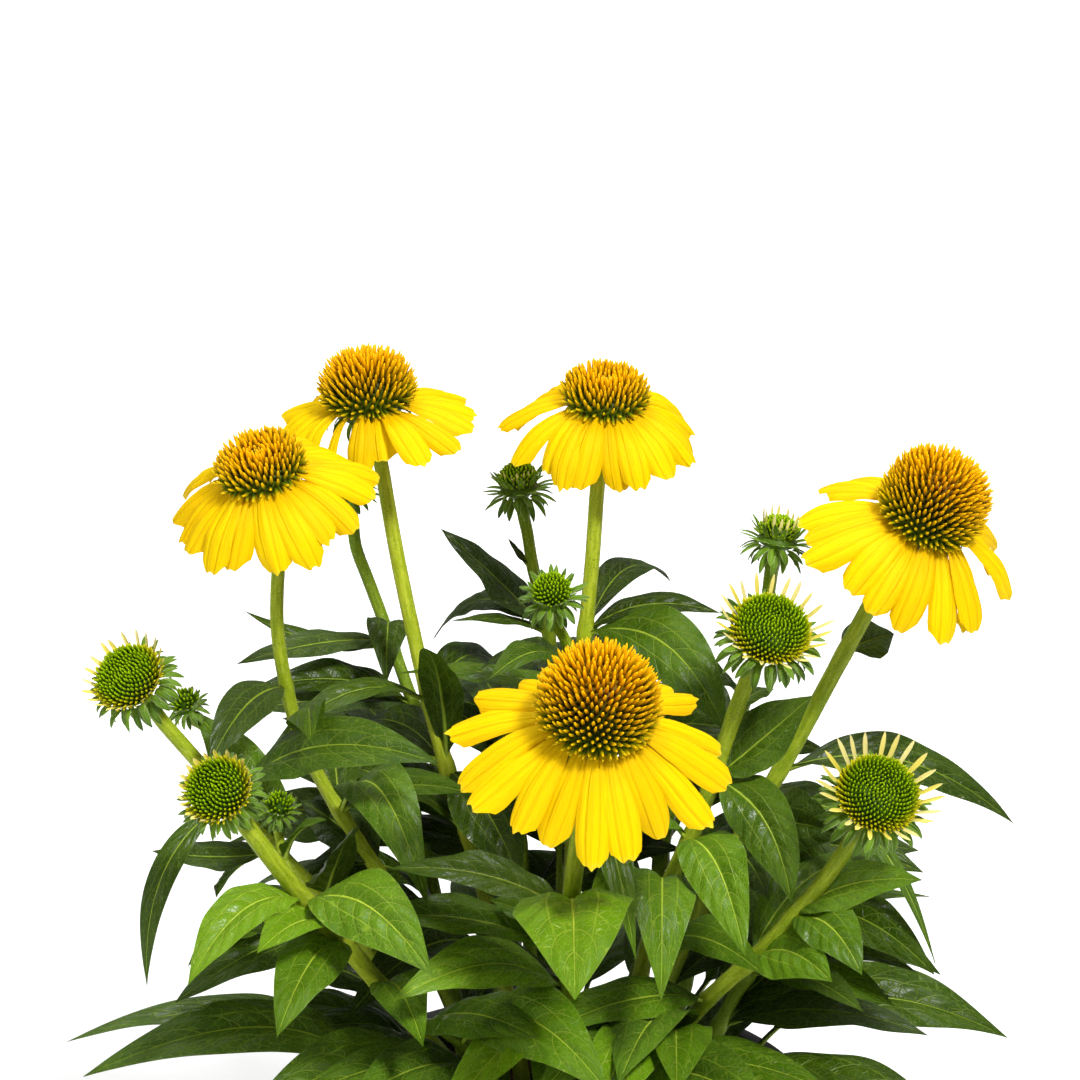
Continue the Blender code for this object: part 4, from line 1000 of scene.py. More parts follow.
class N:
    """Short names for making shader nodes."""

    def __init__(self, nt):
        self.nt = nt

    def new(self, kind, **props):
        node = self.nt.nodes.new(kind)
        for k, v in props.items():
            setattr(node, k, v)
        return node

    def link(self, a, b):
        self.nt.links.new(a, b)

    def put(self, socket, value):
        if isinstance(value, bpy.types.NodeSocket):
            self.link(value, socket)
        else:
            socket.default_value = value

    def math(self, op, a, b=0.0, c=None, clamp=False):
        n = self.new("ShaderNodeMath", operation=op, use_clamp=clamp)
        self.put(n.inputs[0], a)
        self.put(n.inputs[1], b)
        if c is not None:
            self.put(n.inputs[2], c)
        return n.outputs[0]

    def mix(self, f, a, b, blend="MIX"):
        n = self.new("ShaderNodeMix", data_type="RGBA", blend_type=blend, clamp_factor=True)
        self.put(n.inputs[0], f)
        self.put(n.inputs[6], a)
        self.put(n.inputs[7], b)
        return n.outputs[2]

    def ramp(self, fac, stops, mode="LINEAR"):
        n = self.new("ShaderNodeValToRGB")
        n.color_ramp.interpolation = mode
        els = n.color_ramp.elements
        while len(els) < len(stops):
            els.new(0.5)
        for e, (pos, col) in zip(els, stops):
            e.position = pos
            e.color = (*col, 1.0) if len(col) == 3 else col
        self.put(n.inputs[0], fac)
        return n.outputs[0]

    def span(self, value, a, b, c=0.0, d=1.0, kind="LINEAR"):
        n = self.new("ShaderNodeMapRange", interpolation_type=kind)
        n.clamp = True
        self.put(n.inputs[0], value)
        for i, x in enumerate((a, b, c, d)):
            self.put(n.inputs[i + 1], x)
        return n.outputs[0]

    def tint(self):
        a = self.new("ShaderNodeAttribute", attribute_name="tint")
        s = self.new("ShaderNodeSeparateColor")
        self.link(a.outputs["Color"], s.inputs[0])
        return s.outputs[0], s.outputs[1], s.outputs[2]

    def uv(self):
        a = self.new("ShaderNodeTexCoord")
        s = self.new("ShaderNodeSeparateXYZ")
        self.link(a.outputs["UV"], s.inputs[0])
        return s.outputs[0], s.outputs[1], a.outputs["UV"], a.outputs["Object"]

    def join(self, x, y, z=0.0):
        n = self.new("ShaderNodeCombineXYZ")
        for i, q in enumerate((x, y, z)):
            self.put(n.inputs[i], q)
        return n.outputs[0]

    def noise(self, vec, scale, detail=3.0, rough=0.55, dist=0.0):
        n = self.new("ShaderNodeTexNoise")
        self.link(vec, n.inputs["Vector"])
        n.inputs["Scale"].default_value = scale
        n.inputs["Detail"].default_value = detail
        n.inputs["Roughness"].default_value = rough
        n.inputs["Distortion"].default_value = dist
        return n.outputs[0]

    def cells(self, vec, scale, feature="DISTANCE_TO_EDGE"):
        n = self.new("ShaderNodeTexVoronoi", feature=feature)
        self.link(vec, n.inputs["Vector"])
        n.inputs["Scale"].default_value = scale
        return n.outputs[0]

    def bump(self, height, distance, strength, shader):
        n = self.new("ShaderNodeBump")
        n.inputs["Distance"].default_value = distance
        n.inputs["Strength"].default_value = strength
        self.put(n.inputs["Height"], height)
        self.link(n.outputs[0], shader.inputs["Normal"])
        return n.outputs[0]

    def thin(self, shader, colour, share, normal=None):
        """Let a share of the light through, as a leaf or petal does."""
        t = self.new("ShaderNodeBsdfTranslucent")
        self.put(t.inputs[0], colour)
        if normal is not None:
            self.link(normal, t.inputs["Normal"])
        m = self.new("ShaderNodeMixShader")
        m.inputs[0].default_value = share
        self.link(shader.outputs[0], m.inputs[1])
        self.link(t.outputs[0], m.inputs[2])
        out = next(n for n in self.nt.nodes if n.type == "OUTPUT_MATERIAL")
        self.link(m.outputs[0], out.inputs[0])


def leaf_material():
    mat, nt, sh = nodes_of("leaf_green", 0.36, 0.26)
    k = N(nt)
    tone, age, rnd = k.tint()
    u, v, _, obj = k.uv()
    au = k.math("ABSOLUTE", k.math("MULTIPLY_ADD", u, 2.0, -1.0))
    wob = k.noise(obj, 160.0, 2.0)
    au2 = k.math("ADD", au, k.math("MULTIPLY_ADD", wob, 0.05, -0.025))
    # the midrib, and a long vein on each side that runs from the base to the tip
    rib = k.span(au2, k.math("MULTIPLY_ADD", v, -0.035, 0.065), 0.012, 0.0, 1.0, "SMOOTHSTEP")
    off = k.math("ABSOLUTE", k.math("SUBTRACT", au2, k.math("MULTIPLY_ADD", v, 0.10, 0.38)))
    long_vein = k.math("MULTIPLY", k.span(off, 0.035, 0.008, 0.0, 1.0, "SMOOTHSTEP"), k.span(v, 0.90, 0.55))
    # slanting side veins
    bow = k.math("POWER", au2, 1.35)
    run = k.math("FRACT", k.math("ADD", k.math("MULTIPLY_ADD", v, 7.5, 0.5), k.math("MULTIPLY", bow, -1.75)))
    d = k.math("ABSOLUTE", k.math("SUBTRACT", run, 0.5))
    side = k.math("MULTIPLY", k.span(d, 0.050, 0.008, 0.0, 1.0, "SMOOTHSTEP"), k.span(au, 0.94, 0.6))
    net_at = k.join(k.math("MULTIPLY", u, 11.0), k.math("ADD", k.math("MULTIPLY", v, 29.0), k.math("MULTIPLY", rnd, 40.0)), k.math("MULTIPLY", tone, 9.0))
    net = k.span(k.cells(net_at, 1.0), 0.075, 0.0, 0.0, 1.0, "SMOOTHSTEP")
    veins = k.math("MAXIMUM", k.math("MAXIMUM", rib, k.math("MULTIPLY", long_vein, 0.50)), k.math("MAXIMUM", k.math("MULTIPLY", side, 0.62), k.math("MULTIPLY", net, 0.42)))
    patch = k.noise(obj, 55.0, 4.0, 0.6)
    fine = k.noise(obj, 900.0, 2.0, 0.5)
    # The tone channel sets how dark or light each leaf is: random variation together with the painted light and shade
    # set in leaf_sheet.
    base = k.ramp(tone, [(0.0, (0.006, 0.014, 0.001)), (0.35, (0.019, 0.048, 0.001)), (0.7, (0.056, 0.140, 0.002)), (1.0, (0.125, 0.265, 0.002))])
    base = k.mix(k.span(patch, 0.35, 0.75, 0.0, 0.6), base, k.ramp(tone, [(0.0, (0.012, 0.024, 0.003)), (1.0, (0.165, 0.320, 0.004))]))
    base = k.mix(k.span(fine, 0.45, 0.75, 0.0, 0.16), base, k.mix(1.0, base, (1.8, 1.6, 1.5, 1), "MULTIPLY"))
    grey = k.mix(age, base, (0.045, 0.068, 0.034, 1))
    puff = k.span(d, 0.05, 0.5, 0.0, 0.22)
    grey = k.mix(puff, grey, k.mix(1.0, grey, (1.75, 1.55, 1.1, 1), "MULTIPLY"))
    col = k.mix(k.math("MULTIPLY", veins, 0.92), grey, k.ramp(tone, [(0.0, (0.070, 0.105, 0.012)), (0.4, (0.20, 0.29, 0.022)), (1.0, (0.44, 0.58, 0.050))]))
    edge = k.span(au, 0.955, 0.995, 0.0, 0.45)
    col = k.mix(edge, col, k.ramp(tone, [(0.0, (0.05, 0.08, 0.02)), (1.0, (0.24, 0.36, 0.05))]))
    k.link(col, sh.inputs["Base Color"])
    k.link(k.span(k.math("ADD", patch, k.math("MULTIPLY", fine, 0.3)), 0.4, 0.95, 0.26, 0.50), sh.inputs["Roughness"])
    h = k.math("ADD", k.math("MULTIPLY", veins, -1.25), k.math("ADD", k.math("MULTIPLY", fine, 0.22), k.math("MULTIPLY", puff, 2.2)))
    nrm = k.bump(h, 0.0006, 0.65, sh)
    k.thin(sh, k.mix(0.35, col, (0.16, 0.31, 0.001, 1)), 0.12, nrm)
    return mat


def stem_material():
    mat, nt, sh = nodes_of("stem_green", 0.5, 0.16)
    k = N(nt)
    pale, along, rnd = k.tint()
    u, v, _, obj = k.uv()
    blotch = k.noise(obj, 140.0, 4.0, 0.6)
    streak = k.noise(k.join(k.math("MULTIPLY", u, 14.0), k.math("MULTIPLY", v, 30.0), rnd), 1.0, 3.0)
    base = k.mix(pale, (0.080, 0.175, 0.003, 1), (0.36, 0.43, 0.010, 1))
    base = k.mix(k.span(streak, 0.62, 0.30, 0.0, 0.45), base, k.mix(1.0, base, (0.45, 0.60, 0.5, 1), "MULTIPLY"))
    base = k.mix(k.span(streak, 0.42, 0.7, 0.0, 0.70), base, k.mix(pale, (0.15, 0.27, 0.004, 1), (0.52, 0.57, 0.045, 1)))
    specks = k.span(k.cells(obj, 900.0, "F1"), 0.30, 0.16)
    many = k.span(blotch, 0.42, 0.62)
    base = k.mix(k.math("MULTIPLY", k.math("MULTIPLY", specks, many), 0.75), base, (0.075, 0.115, 0.012, 1))
    base = k.mix(k.span(k.noise(obj, 1500.0, 1.0), 0.62, 0.75, 0.0, 0.5), base, (0.56, 0.62, 0.16, 1))
    base = k.mix(k.span(along, 0.45, 1.0, 0.0, 0.6), base, (0.045, 0.090, 0.008, 1))
    k.link(base, sh.inputs["Base Color"])
    k.link(k.span(blotch, 0.3, 0.8, 0.42, 0.66), sh.inputs["Roughness"])
    k.bump(k.math("ADD", streak, k.math("MULTIPLY", k.noise(obj, 1400.0, 2.0), 0.6)), 0.0004, 0.6, sh)
    return mat


def hair_material():
    mat, nt, sh = nodes_of("stem_hair", 0.5, 0.3)
    k = N(nt)
    h, _, rnd = k.tint()
    k.link(k.mix(k.span(h, 0.0, 1.0), (0.30, 0.38, 0.10, 1), k.mix(rnd, (0.62, 0.66, 0.36, 1), (0.80, 0.82, 0.58, 1))), sh.inputs["Base Color"])
    return mat


def ray_material():
    mat, nt, sh = nodes_of("ray_yellow", 0.55, 0.05)
    k = N(nt)
    tone, _, rnd = k.tint()
    u, v, _, obj = k.uv()
    lines = k.noise(k.join(k.math("MULTIPLY_ADD", u, 26.0, k.math("MULTIPLY", rnd, 30.0)), k.math("MULTIPLY", v, 1.6), rnd), 1.0, 3.0, 0.6)
    soft = k.noise(obj, 90.0, 3.0)
    col = k.ramp(v, [(0.0, (0.56, 0.31, 0.001)), (0.10, (0.80, 0.51, 0.001)), (0.35, (0.92, 0.665, 0.001)), (0.92, (0.95, 0.70, 0.001)), (1.0, (0.96, 0.78, 0.06))])
    col = k.mix(k.span(lines, 0.40, 0.66, 0.0, 0.66), col, (0.82, 0.48, 0.001, 1))
    col = k.mix(k.span(soft, 0.5, 0.8, 0.0, 0.22), col, (0.94, 0.70, 0.008, 1))
    # Painted shade: a random share of the petals is mixed towards a deeper gold, standing for their shaded sides.
    col = k.mix(k.math("MULTIPLY", tone, 0.60), col, (0.80, 0.47, 0.001, 1))
    au = k.math("ABSOLUTE", k.math("MULTIPLY_ADD", u, 2.0, -1.0))
    groove = k.math("MAXIMUM", k.span(k.math("ABSOLUTE", k.math("SUBTRACT", au, 0.36)), 0.11, 0.0, 0.0, 1.0, "SMOOTHSTEP"), 0.0)
    # Painted shade in the groove's crease: the colour darkens along it, besides the bump.
    col = k.mix(k.math("MULTIPLY", groove, 0.38), col, (0.70, 0.38, 0.001, 1))
    # Painted shade along the petals' edges, where they lie against each other.
    painted_edge_shade = k.span(au, 0.72, 1.0, 0.0, 0.50)
    col = k.mix(painted_edge_shade, col, (0.74, 0.42, 0.001, 1))
    k.link(col, sh.inputs["Base Color"])
    k.link(k.span(lines, 0.3, 0.7, 0.38, 0.56), sh.inputs["Roughness"])
    nrm = k.bump(k.math("SUBTRACT", lines, k.math("MULTIPLY", groove, 0.8)), 0.0006, 0.7, sh)
    k.thin(sh, k.mix(0.5, col, (0.93, 0.56, 0.001, 1)), 0.18, nrm)
    return mat


def new_ray_material():
    mat, nt, sh = nodes_of("ray_new", 0.5, 0.12)
    k = N(nt)
    tone, _, rnd = k.tint()
    u, v, _, obj = k.uv()
    lines = k.noise(k.join(k.math("MULTIPLY", u, 14.0), k.math("MULTIPLY", v, 1.5), rnd), 1.0, 3.0)
    col = k.ramp(v, [(0.0, (0.36, 0.42, 0.05)), (0.3, (0.72, 0.62, 0.07)), (0.75, (0.88, 0.74, 0.14)), (1.0, (0.90, 0.80, 0.30))])
    col = k.mix(k.span(lines, 0.4, 0.7, 0.0, 0.4), col, (0.70, 0.54, 0.04, 1))
    col = k.mix(k.math("MULTIPLY", tone, 0.5), col, (0.90, 0.84, 0.50, 1))
    k.link(col, sh.inputs["Base Color"])
    nrm = k.bump(lines, 0.0003, 0.5, sh)
    k.thin(sh, col, 0.22, nrm)
    return mat


def disc_material(young):
    mat, nt, sh = nodes_of("disc_young" if young else "disc_orange", 0.52, 0.08)
    k = N(nt)
    h, zone, rnd = k.tint()
    _, _, _, obj = k.uv()
    fine = k.noise(obj, 1100.0, 2.0)
    if young:
        # Florets run from dark at the base to bright at the tip: partly their own colour, partly painted shade in the
        # gaps between them.
        inner = k.ramp(h, [(0.0, (0.014, 0.038, 0.001)), (0.40, (0.066, 0.152, 0.001)), (0.75, (0.195, 0.350, 0.001)), (1.0, (0.36, 0.54, 0.003))])
        outer = k.ramp(h, [(0.0, (0.03, 0.06, 0.001)), (0.4, (0.22, 0.24, 0.002)), (0.75, (0.52, 0.46, 0.004)), (1.0, (0.72, 0.58, 0.012))])
        col = k.mix(k.span(zone, 0.46, 0.84), inner, outer)
    else:
        # Florets run from dark at the base to bright at the tip: partly their own colour, partly painted shade in the
        # gaps between them; the cone's surface under them takes the dark base colour too.
        top = k.ramp(h, [(0.0, (0.16, 0.080, 0.001)), (0.25, (0.30, 0.145, 0.001)), (0.45, (0.58, 0.285, 0.001)), (0.68, (0.82, 0.42, 0.001)), (1.0, (0.93, 0.52, 0.001))])
        mid = k.ramp(h, [(0.0, (0.024, 0.030, 0.001)), (0.30, (0.085, 0.085, 0.001)), (0.52, (0.36, 0.22, 0.001)), (0.76, (0.70, 0.39, 0.001)), (1.0, (0.84, 0.49, 0.002))])
        low = k.ramp(h, [(0.0, (0.038, 0.072, 0.001)), (0.34, (0.120, 0.165, 0.001)), (0.58, (0.32, 0.29, 0.001)), (0.80, (0.60, 0.43, 0.002)), (1.0, (0.76, 0.54, 0.003))])
        col = k.mix(k.span(zone, 0.50, 0.92), k.mix(k.span(zone, 0.12, 0.45), top, mid), low)
        centre = k.ramp(h, [(0.0, (0.02, 0.04, 0.004)), (0.6, (0.14, 0.20, 0.012)), (1.0, (0.36, 0.32, 0.03))])
        col = k.mix(k.span(zone, 0.030, 0.0, 0.0, 0.85), col, centre)
    col = k.mix(k.math("MULTIPLY", rnd, 0.30), col, k.mix(1.0, col, (1.0, 0.80, 0.60, 1), "MULTIPLY"))
    col = k.mix(k.span(fine, 0.55, 0.8, 0.0, 0.3), col, k.mix(1.0, col, (1.6, 1.5, 1.4, 1), "MULTIPLY"))
    k.link(col, sh.inputs["Base Color"])
    k.link(k.span(fine, 0.3, 0.7, 0.40, 0.60), sh.inputs["Roughness"])
    k.bump(fine, 0.0002, 0.5, sh)
    return mat


def bract_material():
    mat, nt, sh = nodes_of("bract_green", 0.5, 0.16)
    k = N(nt)
    tone, along, rnd = k.tint()
    u, v, _, obj = k.uv()
    au = k.math("ABSOLUTE", k.math("MULTIPLY_ADD", u, 2.0, -1.0))
    fine = k.noise(obj, 700.0, 3.0)
    col = k.ramp(v, [(0.0, (0.16, 0.27, 0.006)), (0.45, (0.070, 0.155, 0.004)), (1.0, (0.024, 0.060, 0.003))])
    col = k.mix(k.math("MULTIPLY", tone, 0.6), col, (0.18, 0.33, 0.010, 1))
    col = k.mix(k.span(au, 0.72, 1.0, 0.0, 0.55), col, (0.42, 0.50, 0.24, 1))
    col = k.mix(k.span(au, 0.14, 0.0, 0.0, 0.4), col, (0.26, 0.36, 0.10, 1))
    col = k.mix(k.span(fine, 0.5, 0.8, 0.0, 0.35), col, (0.20, 0.30, 0.09, 1))
    k.link(col, sh.inputs["Base Color"])
    k.link(k.span(fine, 0.3, 0.7, 0.42, 0.62), sh.inputs["Roughness"])
    nrm = k.bump(fine, 0.0003, 0.5, sh)
    k.thin(sh, col, 0.12, nrm)
    return mat


def pot_material():
    mat, nt, sh = nodes_of("pot_plastic", 0.45, 0.5)
    k = N(nt)
    _, _, _, obj = k.uv()
    grain = k.noise(obj, 900.0, 3.0)
    smear = k.noise(obj, 26.0, 5.0, 0.65)
    sep = k.new("ShaderNodeSeparateXYZ")
    k.link(obj, sep.inputs[0])
    low = k.span(sep.outputs[2], 0.035, 0.0)
    col = k.mix(k.span(smear, 0.45, 0.75, 0.0, 0.6), (0.020, 0.021, 0.022, 1), (0.040, 0.040, 0.040, 1))
    dust = k.math("MULTIPLY", k.span(k.noise(obj, 75.0, 4.0, 0.7), 0.52, 0.72), k.math("MULTIPLY_ADD", low, 0.5, 0.14))
    col = k.mix(dust, col, (0.16, 0.125, 0.090, 1))
    k.link(col, sh.inputs["Base Color"])
    k.link(k.span(k.math("ADD", smear, k.math("MULTIPLY", grain, 0.35)), 0.45, 0.95, 0.36, 0.62), sh.inputs["Roughness"])
    k.bump(grain, 0.00012, 0.5, sh)
    return mat


def soil_material():
    mat, nt, sh = nodes_of("soil_peat", 0.92, 0.2)
    k = N(nt)
    tone, _, rnd = k.tint()
    _, _, _, obj = k.uv()
    a = k.noise(obj, 160.0, 6.0, 0.7)
    b = k.noise(obj, 900.0, 3.0)
    col = k.ramp(a, [(0.25, (0.008, 0.005, 0.003)), (0.5, (0.030, 0.019, 0.011)), (0.7, (0.065, 0.041, 0.024)), (0.85, (0.12, 0.080, 0.048))])
    col = k.mix(k.span(k.cells(obj, 420.0, "F1"), 0.20, 0.10, 0.0, 0.5), col, (0.16, 0.11, 0.07, 1))
    col = k.mix(k.math("MULTIPLY", rnd, 0.5), col, (0.085, 0.055, 0.032, 1))
    k.link(col, sh.inputs["Base Color"])
    k.link(k.span(a, 0.3, 0.8, 0.80, 1.0), sh.inputs["Roughness"])
    k.bump(k.math("ADD", a, k.math("MULTIPLY", b, 0.4)), 0.0016, 0.9, sh)
    return mat


def floor_material():
    mat, nt, sh = nodes_of("studio_floor", 0.7, 0.2)
    k = N(nt)
    _, _, _, obj = k.uv()
    k.link(k.mix(k.span(k.noise(obj, 3.0, 4.0), 0.3, 0.7), (0.93, 0.93, 0.93, 1), (0.96, 0.96, 0.955, 1)), sh.inputs["Base Color"])
    sep = k.new("ShaderNodeSeparateXYZ")
    k.link(obj, sep.inputs[0])
    far = k.math("SQRT", k.math("ADD", k.math("POWER", k.math("ABSOLUTE", sep.outputs[0]), 2.0), k.math("POWER", k.math("ABSOLUTE", sep.outputs[1]), 2.0)))
    sh.inputs["Emission Color"].default_value = (1, 1, 1, 1)
    seen = k.new("ShaderNodeLightPath").outputs["Is Camera Ray"]
    k.link(k.math("MULTIPLY", seen, k.span(far, 0.3, 1.6, 0.12, 1.0)), sh.inputs["Emission Strength"])
    k.bump(k.noise(obj, 60.0, 3.0), 0.0003, 0.2, sh)
    return mat


# ================================================================ leaves
def leaf_sheet(shape, leaf, rng, nu=16, nv=42):
    """A full leaf: folded along its midrib, waved at its edges, with a round rib underneath."""
    fr = leaf_frames(leaf, nv)
    p = np.array([tuple(q[0]) for q in fr])
    side = np.array([tuple(q[1]) for q in fr])
    nn = np.array([tuple(q[2]) for q in fr])
    half = np.array([q[3] for q in fr])
    s = np.linspace(0, 1, nv + 1)
    big = leaf["width"] * 0.5
    stalk = 0.0011 * np.clip(1 - s * 1.1, 0.12, 1)
    half = np.maximum(half, stalk)
    u = np.linspace(-1, 1, nu + 1)
    fold = math.radians(rng.uniform(7, 17)) + 0.75 * np.exp(-s / 0.06)
    x = u[None, :] * half[:, None] * np.cos(fold)[:, None]
    z = np.abs(u)[None, :] * half[:, None] * np.sin(fold)[:, None]
    z -= 0.16 * half[:, None] * (np.abs(u) ** 3.0)[None, :]
    z -= 0.05 * big * np.exp(-((u / 0.10) ** 2))[None, :] * np.clip((half / big), 0, 1)[:, None]
    for sgn in (-1, 1):
        mask = (u * sgn > 0)[None, :]
        f1, f2 = rng.uniform(1.6, 2.7), rng.uniform(3.2, 5.0)
        a1, a2 = rng.uniform(0.05, 0.12), rng.uniform(0.015, 0.04)
        ph1, ph2 = rng.uniform(0, 6.28), rng.uniform(0, 6.28)
        wave = (a1 * np.sin(6.283 * f1 * s + ph1) + a2 * np.sin(6.283 * f2 * s + ph2))[:, None]
        z += np.where(mask, wave * half[:, None] * (np.abs(u) ** 2.0)[None, :], 0)
    # the blade sinks at each side vein and swells a little between them
    vv = np.clip((s - leaf["petiole"]) / (1 - leaf["petiole"]), 0, 1)[:, None]
    vein = np.cos(2 * np.pi * (7.5 * vv + 0.5 - 1.75 * (np.abs(u) ** 1.35)[None, :] - 0.5))
    z -= 0.030 * big * vein * np.clip(half / big, 0, 1)[:, None] * np.clip(np.abs(u) * 5, 0, 1)[None, :] * (1 - np.abs(u) ** 6)[None, :]
    z += 0.030 * big * np.cos(np.abs(u) / 0.42 * np.pi)[None, :] * np.clip(half / big, 0, 1)[:, None] * -1.0
    verts = p[:, None, :] + side[:, None, :] * x[..., None] + nn[:, None, :] * z[..., None]
    pet = leaf["petiole"]
    v = np.clip((s - pet) / (1 - pet), 0, 1)
    uv = np.stack(np.broadcast_arrays((u * 0.5 + 0.5)[None, :], v[:, None]), -1).reshape(-1, 2)
    mid = p[nv // 2]
    # The leaf's tone carries painted light and shade: leaves deep inside the plant are given painted shade, leaves
    # nearer the front are painted lighter through lit, with a random share on top.
    painted_interior_shade = min(1.0, max(0.0, (0.100 - math.hypot(mid[0], mid[1])) / 0.05)) * min(1.0, max(0.0, (0.262 - mid[2]) / 0.04)) * min(1.0, max(0.0, (mid[1] + 0.085) / 0.04))
    lit = 0.34 - 4.6 * mid[1] + rng.uniform(-0.20, 0.28)
    tone = min(1.0, max(0.03, lit)) * (1 - 0.85 * painted_interior_shade)
    u0, v0 = drawn(Vector(mid))
    # Painted shadow: leaves whose middles fall on these spots of the drawing are darkened.
    for uc, vc, ru, rv in ((492, 896, 72, 66), (738, 934, 38, 42), (402, 836, 34, 40), (664, 862, 30, 34)):
        tone *= 1 - 0.9 * math.exp(-(((u0 - uc) / ru) ** 2 + ((v0 - vc) / rv) ** 2) ** 2) * min(1.0, max(0.0, (mid[1] + 0.090) / 0.035))
    # Outer leaves at the back keep a least tone, a floor under the painted shade.
    tone = max(tone, (0.24 + 0.14 * rng.random()) * min(1.0, max(0.0, (math.hypot(mid[0], mid[1]) - 0.055) / 0.03)) * min(1.0, max(0.0, mid[1] / 0.025)))
    # Painted light on the front leaf near (666, 930) on the drawing, and painted shade on the leaf near (462, 874).
    front = min(1.0, max(0.0, (-0.045 - mid[1]) / 0.03))
    tone = min(1.0, tone + 0.50 * front * math.exp(-(((u0 - 666) / 26) ** 2 + ((v0 - 930) / 34) ** 2) ** 2))
    tone *= 1 - 0.65 * math.exp(-(((u0 - 462) / 34) ** 2 + ((v0 - 874) / 24) ** 2) ** 2)
    grey = 0.6 * max(0.0, rng.uniform(-1.3, 1.0)) * (1.0 if mid[1] > -0.03 else 0.3)
    shape.add(verts.reshape(-1, 3), [grid(nu, nv)], uv, (tone, grey, rng.random()))
    # rib
    keep = slice(0, nv - 1)
    rib_r = np.maximum(0.00012, (0.0010 if pet < 0.12 else 0.0014) * (1 - s[keep]) ** 1.2)
    rib_r = np.minimum(rib_r, 0.0014)
    rib_p = p[keep] - nn[keep] * (rib_r * 0.75)[:, None] - nn[keep] * (0.05 * big * np.clip(half[keep] / big, 0, 1))[:, None]
    pipe(shape, [Vector(q) for q in rib_p], rib_r, 4, lambda q: (min(1.0, tone + 0.25), grey, 0.5), cap=True)
    # the rib's UVs lie on the midrib's own line
    shape.uv[-1][:, 0] = 0.5


# ================================================================ stems
def stem_piece(name, label, path, radius, joints_at, mats, branches):
    rng = random.Random("stem " + name)
    shape, hairs = Shape(), Shape()
    for bud, bp, br in [(name, path, radius), *branches]:
        dense = smooth_path(bp, 0.0026)
        n = len(dense) - 1
        radii = []
        for i, q in enumerate(dense):
            s = i / n
            r = taper(bud, br, s)
            for j in joints_at:
                dd = (q - j).length
                if dd < 0.012:
                    r *= 1 + 0.07 * math.exp(-((dd / 0.004) ** 2))
            if not bud.startswith("shoot_"):
                r *= 1 + 0.30 * math.exp(-((s * n * 0.0026) / 0.0045))
            if i > n - 3 and bud.startswith("shoot_") is False and bud == name:
                r *= 1.05
            radii.append(r)
        if bud.startswith("shoot_"):
            for i in range(min(7, n)):
                radii[i] *= 0.25 + 0.75 * (i / 7) ** 0.6
        pale = {"a": 0.95, "c": 0.90, "b": 0.70, "g": 0.72, "k": 0.66, "l": 0.62, "e": 0.60, "f": 0.66, "n": 0.5, "o": 0.6, "d": 0.55, "h": 0.40, "m": 0.25, "i": 0.45}.get(bud, 0.25)
        if bp is path:
            dense = dense + [dense[-1] + Vector((0, 0, -0.0016))]
            radii.append(radii[-1])
        pts, t, a, b = pipe(shape, dense, radii, 14, lambda s, pale=pale: (pale, s, 0.4), ridges=7, ridge=0.045)
        # hairs
        total = len(dense) * 0.0026
        count = int(total * (4200 if bud in "aegklfbcd" else 2600))
        g = np.random.default_rng(len(bud) * 77 + ord(bud[-1]))
        at = g.uniform(0.5, max(1.0, len(pts) * 0.80), count)
        i0 = np.clip(at.astype(int), 0, len(pts) - 2)
        fr = (at - i0)[:, None]
        c = pts[i0] * (1 - fr) + pts[i0 + 1] * fr
        w = g.uniform(0, 2 * np.pi, count)
        out = a[i0] * np.cos(w)[:, None] + b[i0] * np.sin(w)[:, None]
        rr = np.array(radii)[i0][:, None]
        way = out + t[i0] * g.uniform(-0.5, 0.2, (count, 1)) + g.normal(0, 0.18, (count, 3))
        spikes(hairs, c + out * rr * 0.96, way, g.uniform(0.0006, 0.0013, count), 0.000055, [(0.0, 1.0)], 3, at / len(pts), g.random(count))
    make("stalk_" + label, shape, mats["stem"], [label])
    make("hairs_" + label, hairs, mats["hair"], [label])


# ================================================================ flowers
def dome_places(profile, spacing):
    """Spots on a turned surface in a sunflower spiral: position, normal and share of the way down, for each."""
    pr = np.array(profile)[::-1]  # from the top down
    seg = np.hypot(np.diff(pr[:, 0]), np.diff(pr[:, 1]))
    mid_r = (pr[1:, 0] + pr[:-1, 0]) / 2
    area = np.concatenate([[0], np.cumsum(2 * np.pi * mid_r * seg)])
    n = int(area[-1] / (spacing ** 2 * 0.90))
    want = (np.arange(n) + 0.5) / n * area[-1]
    r = np.interp(want, area, pr[:, 0])
    z = np.interp(want, area, pr[:, 1])
    dr = np.interp(want, (area[1:] + area[:-1]) / 2, np.diff(pr[:, 0]) / seg)
    dz = np.interp(want, (area[1:] + area[:-1]) / 2, np.diff(pr[:, 1]) / seg)
    w = np.arange(n) * math.radians(137.50776)
    pos = np.stack([r * np.cos(w), r * np.sin(w), z], -1)
    nor = unit(np.stack([-dz * np.cos(w), -dz * np.sin(w), dr], -1))
    return pos, nor, want / area[-1], w


def to_world(m, a, point=True):
    mm = np.array(m)
    out = np.asarray(a) @ mm[:3, :3].T
    return out + mm[:3, 3] if point else out


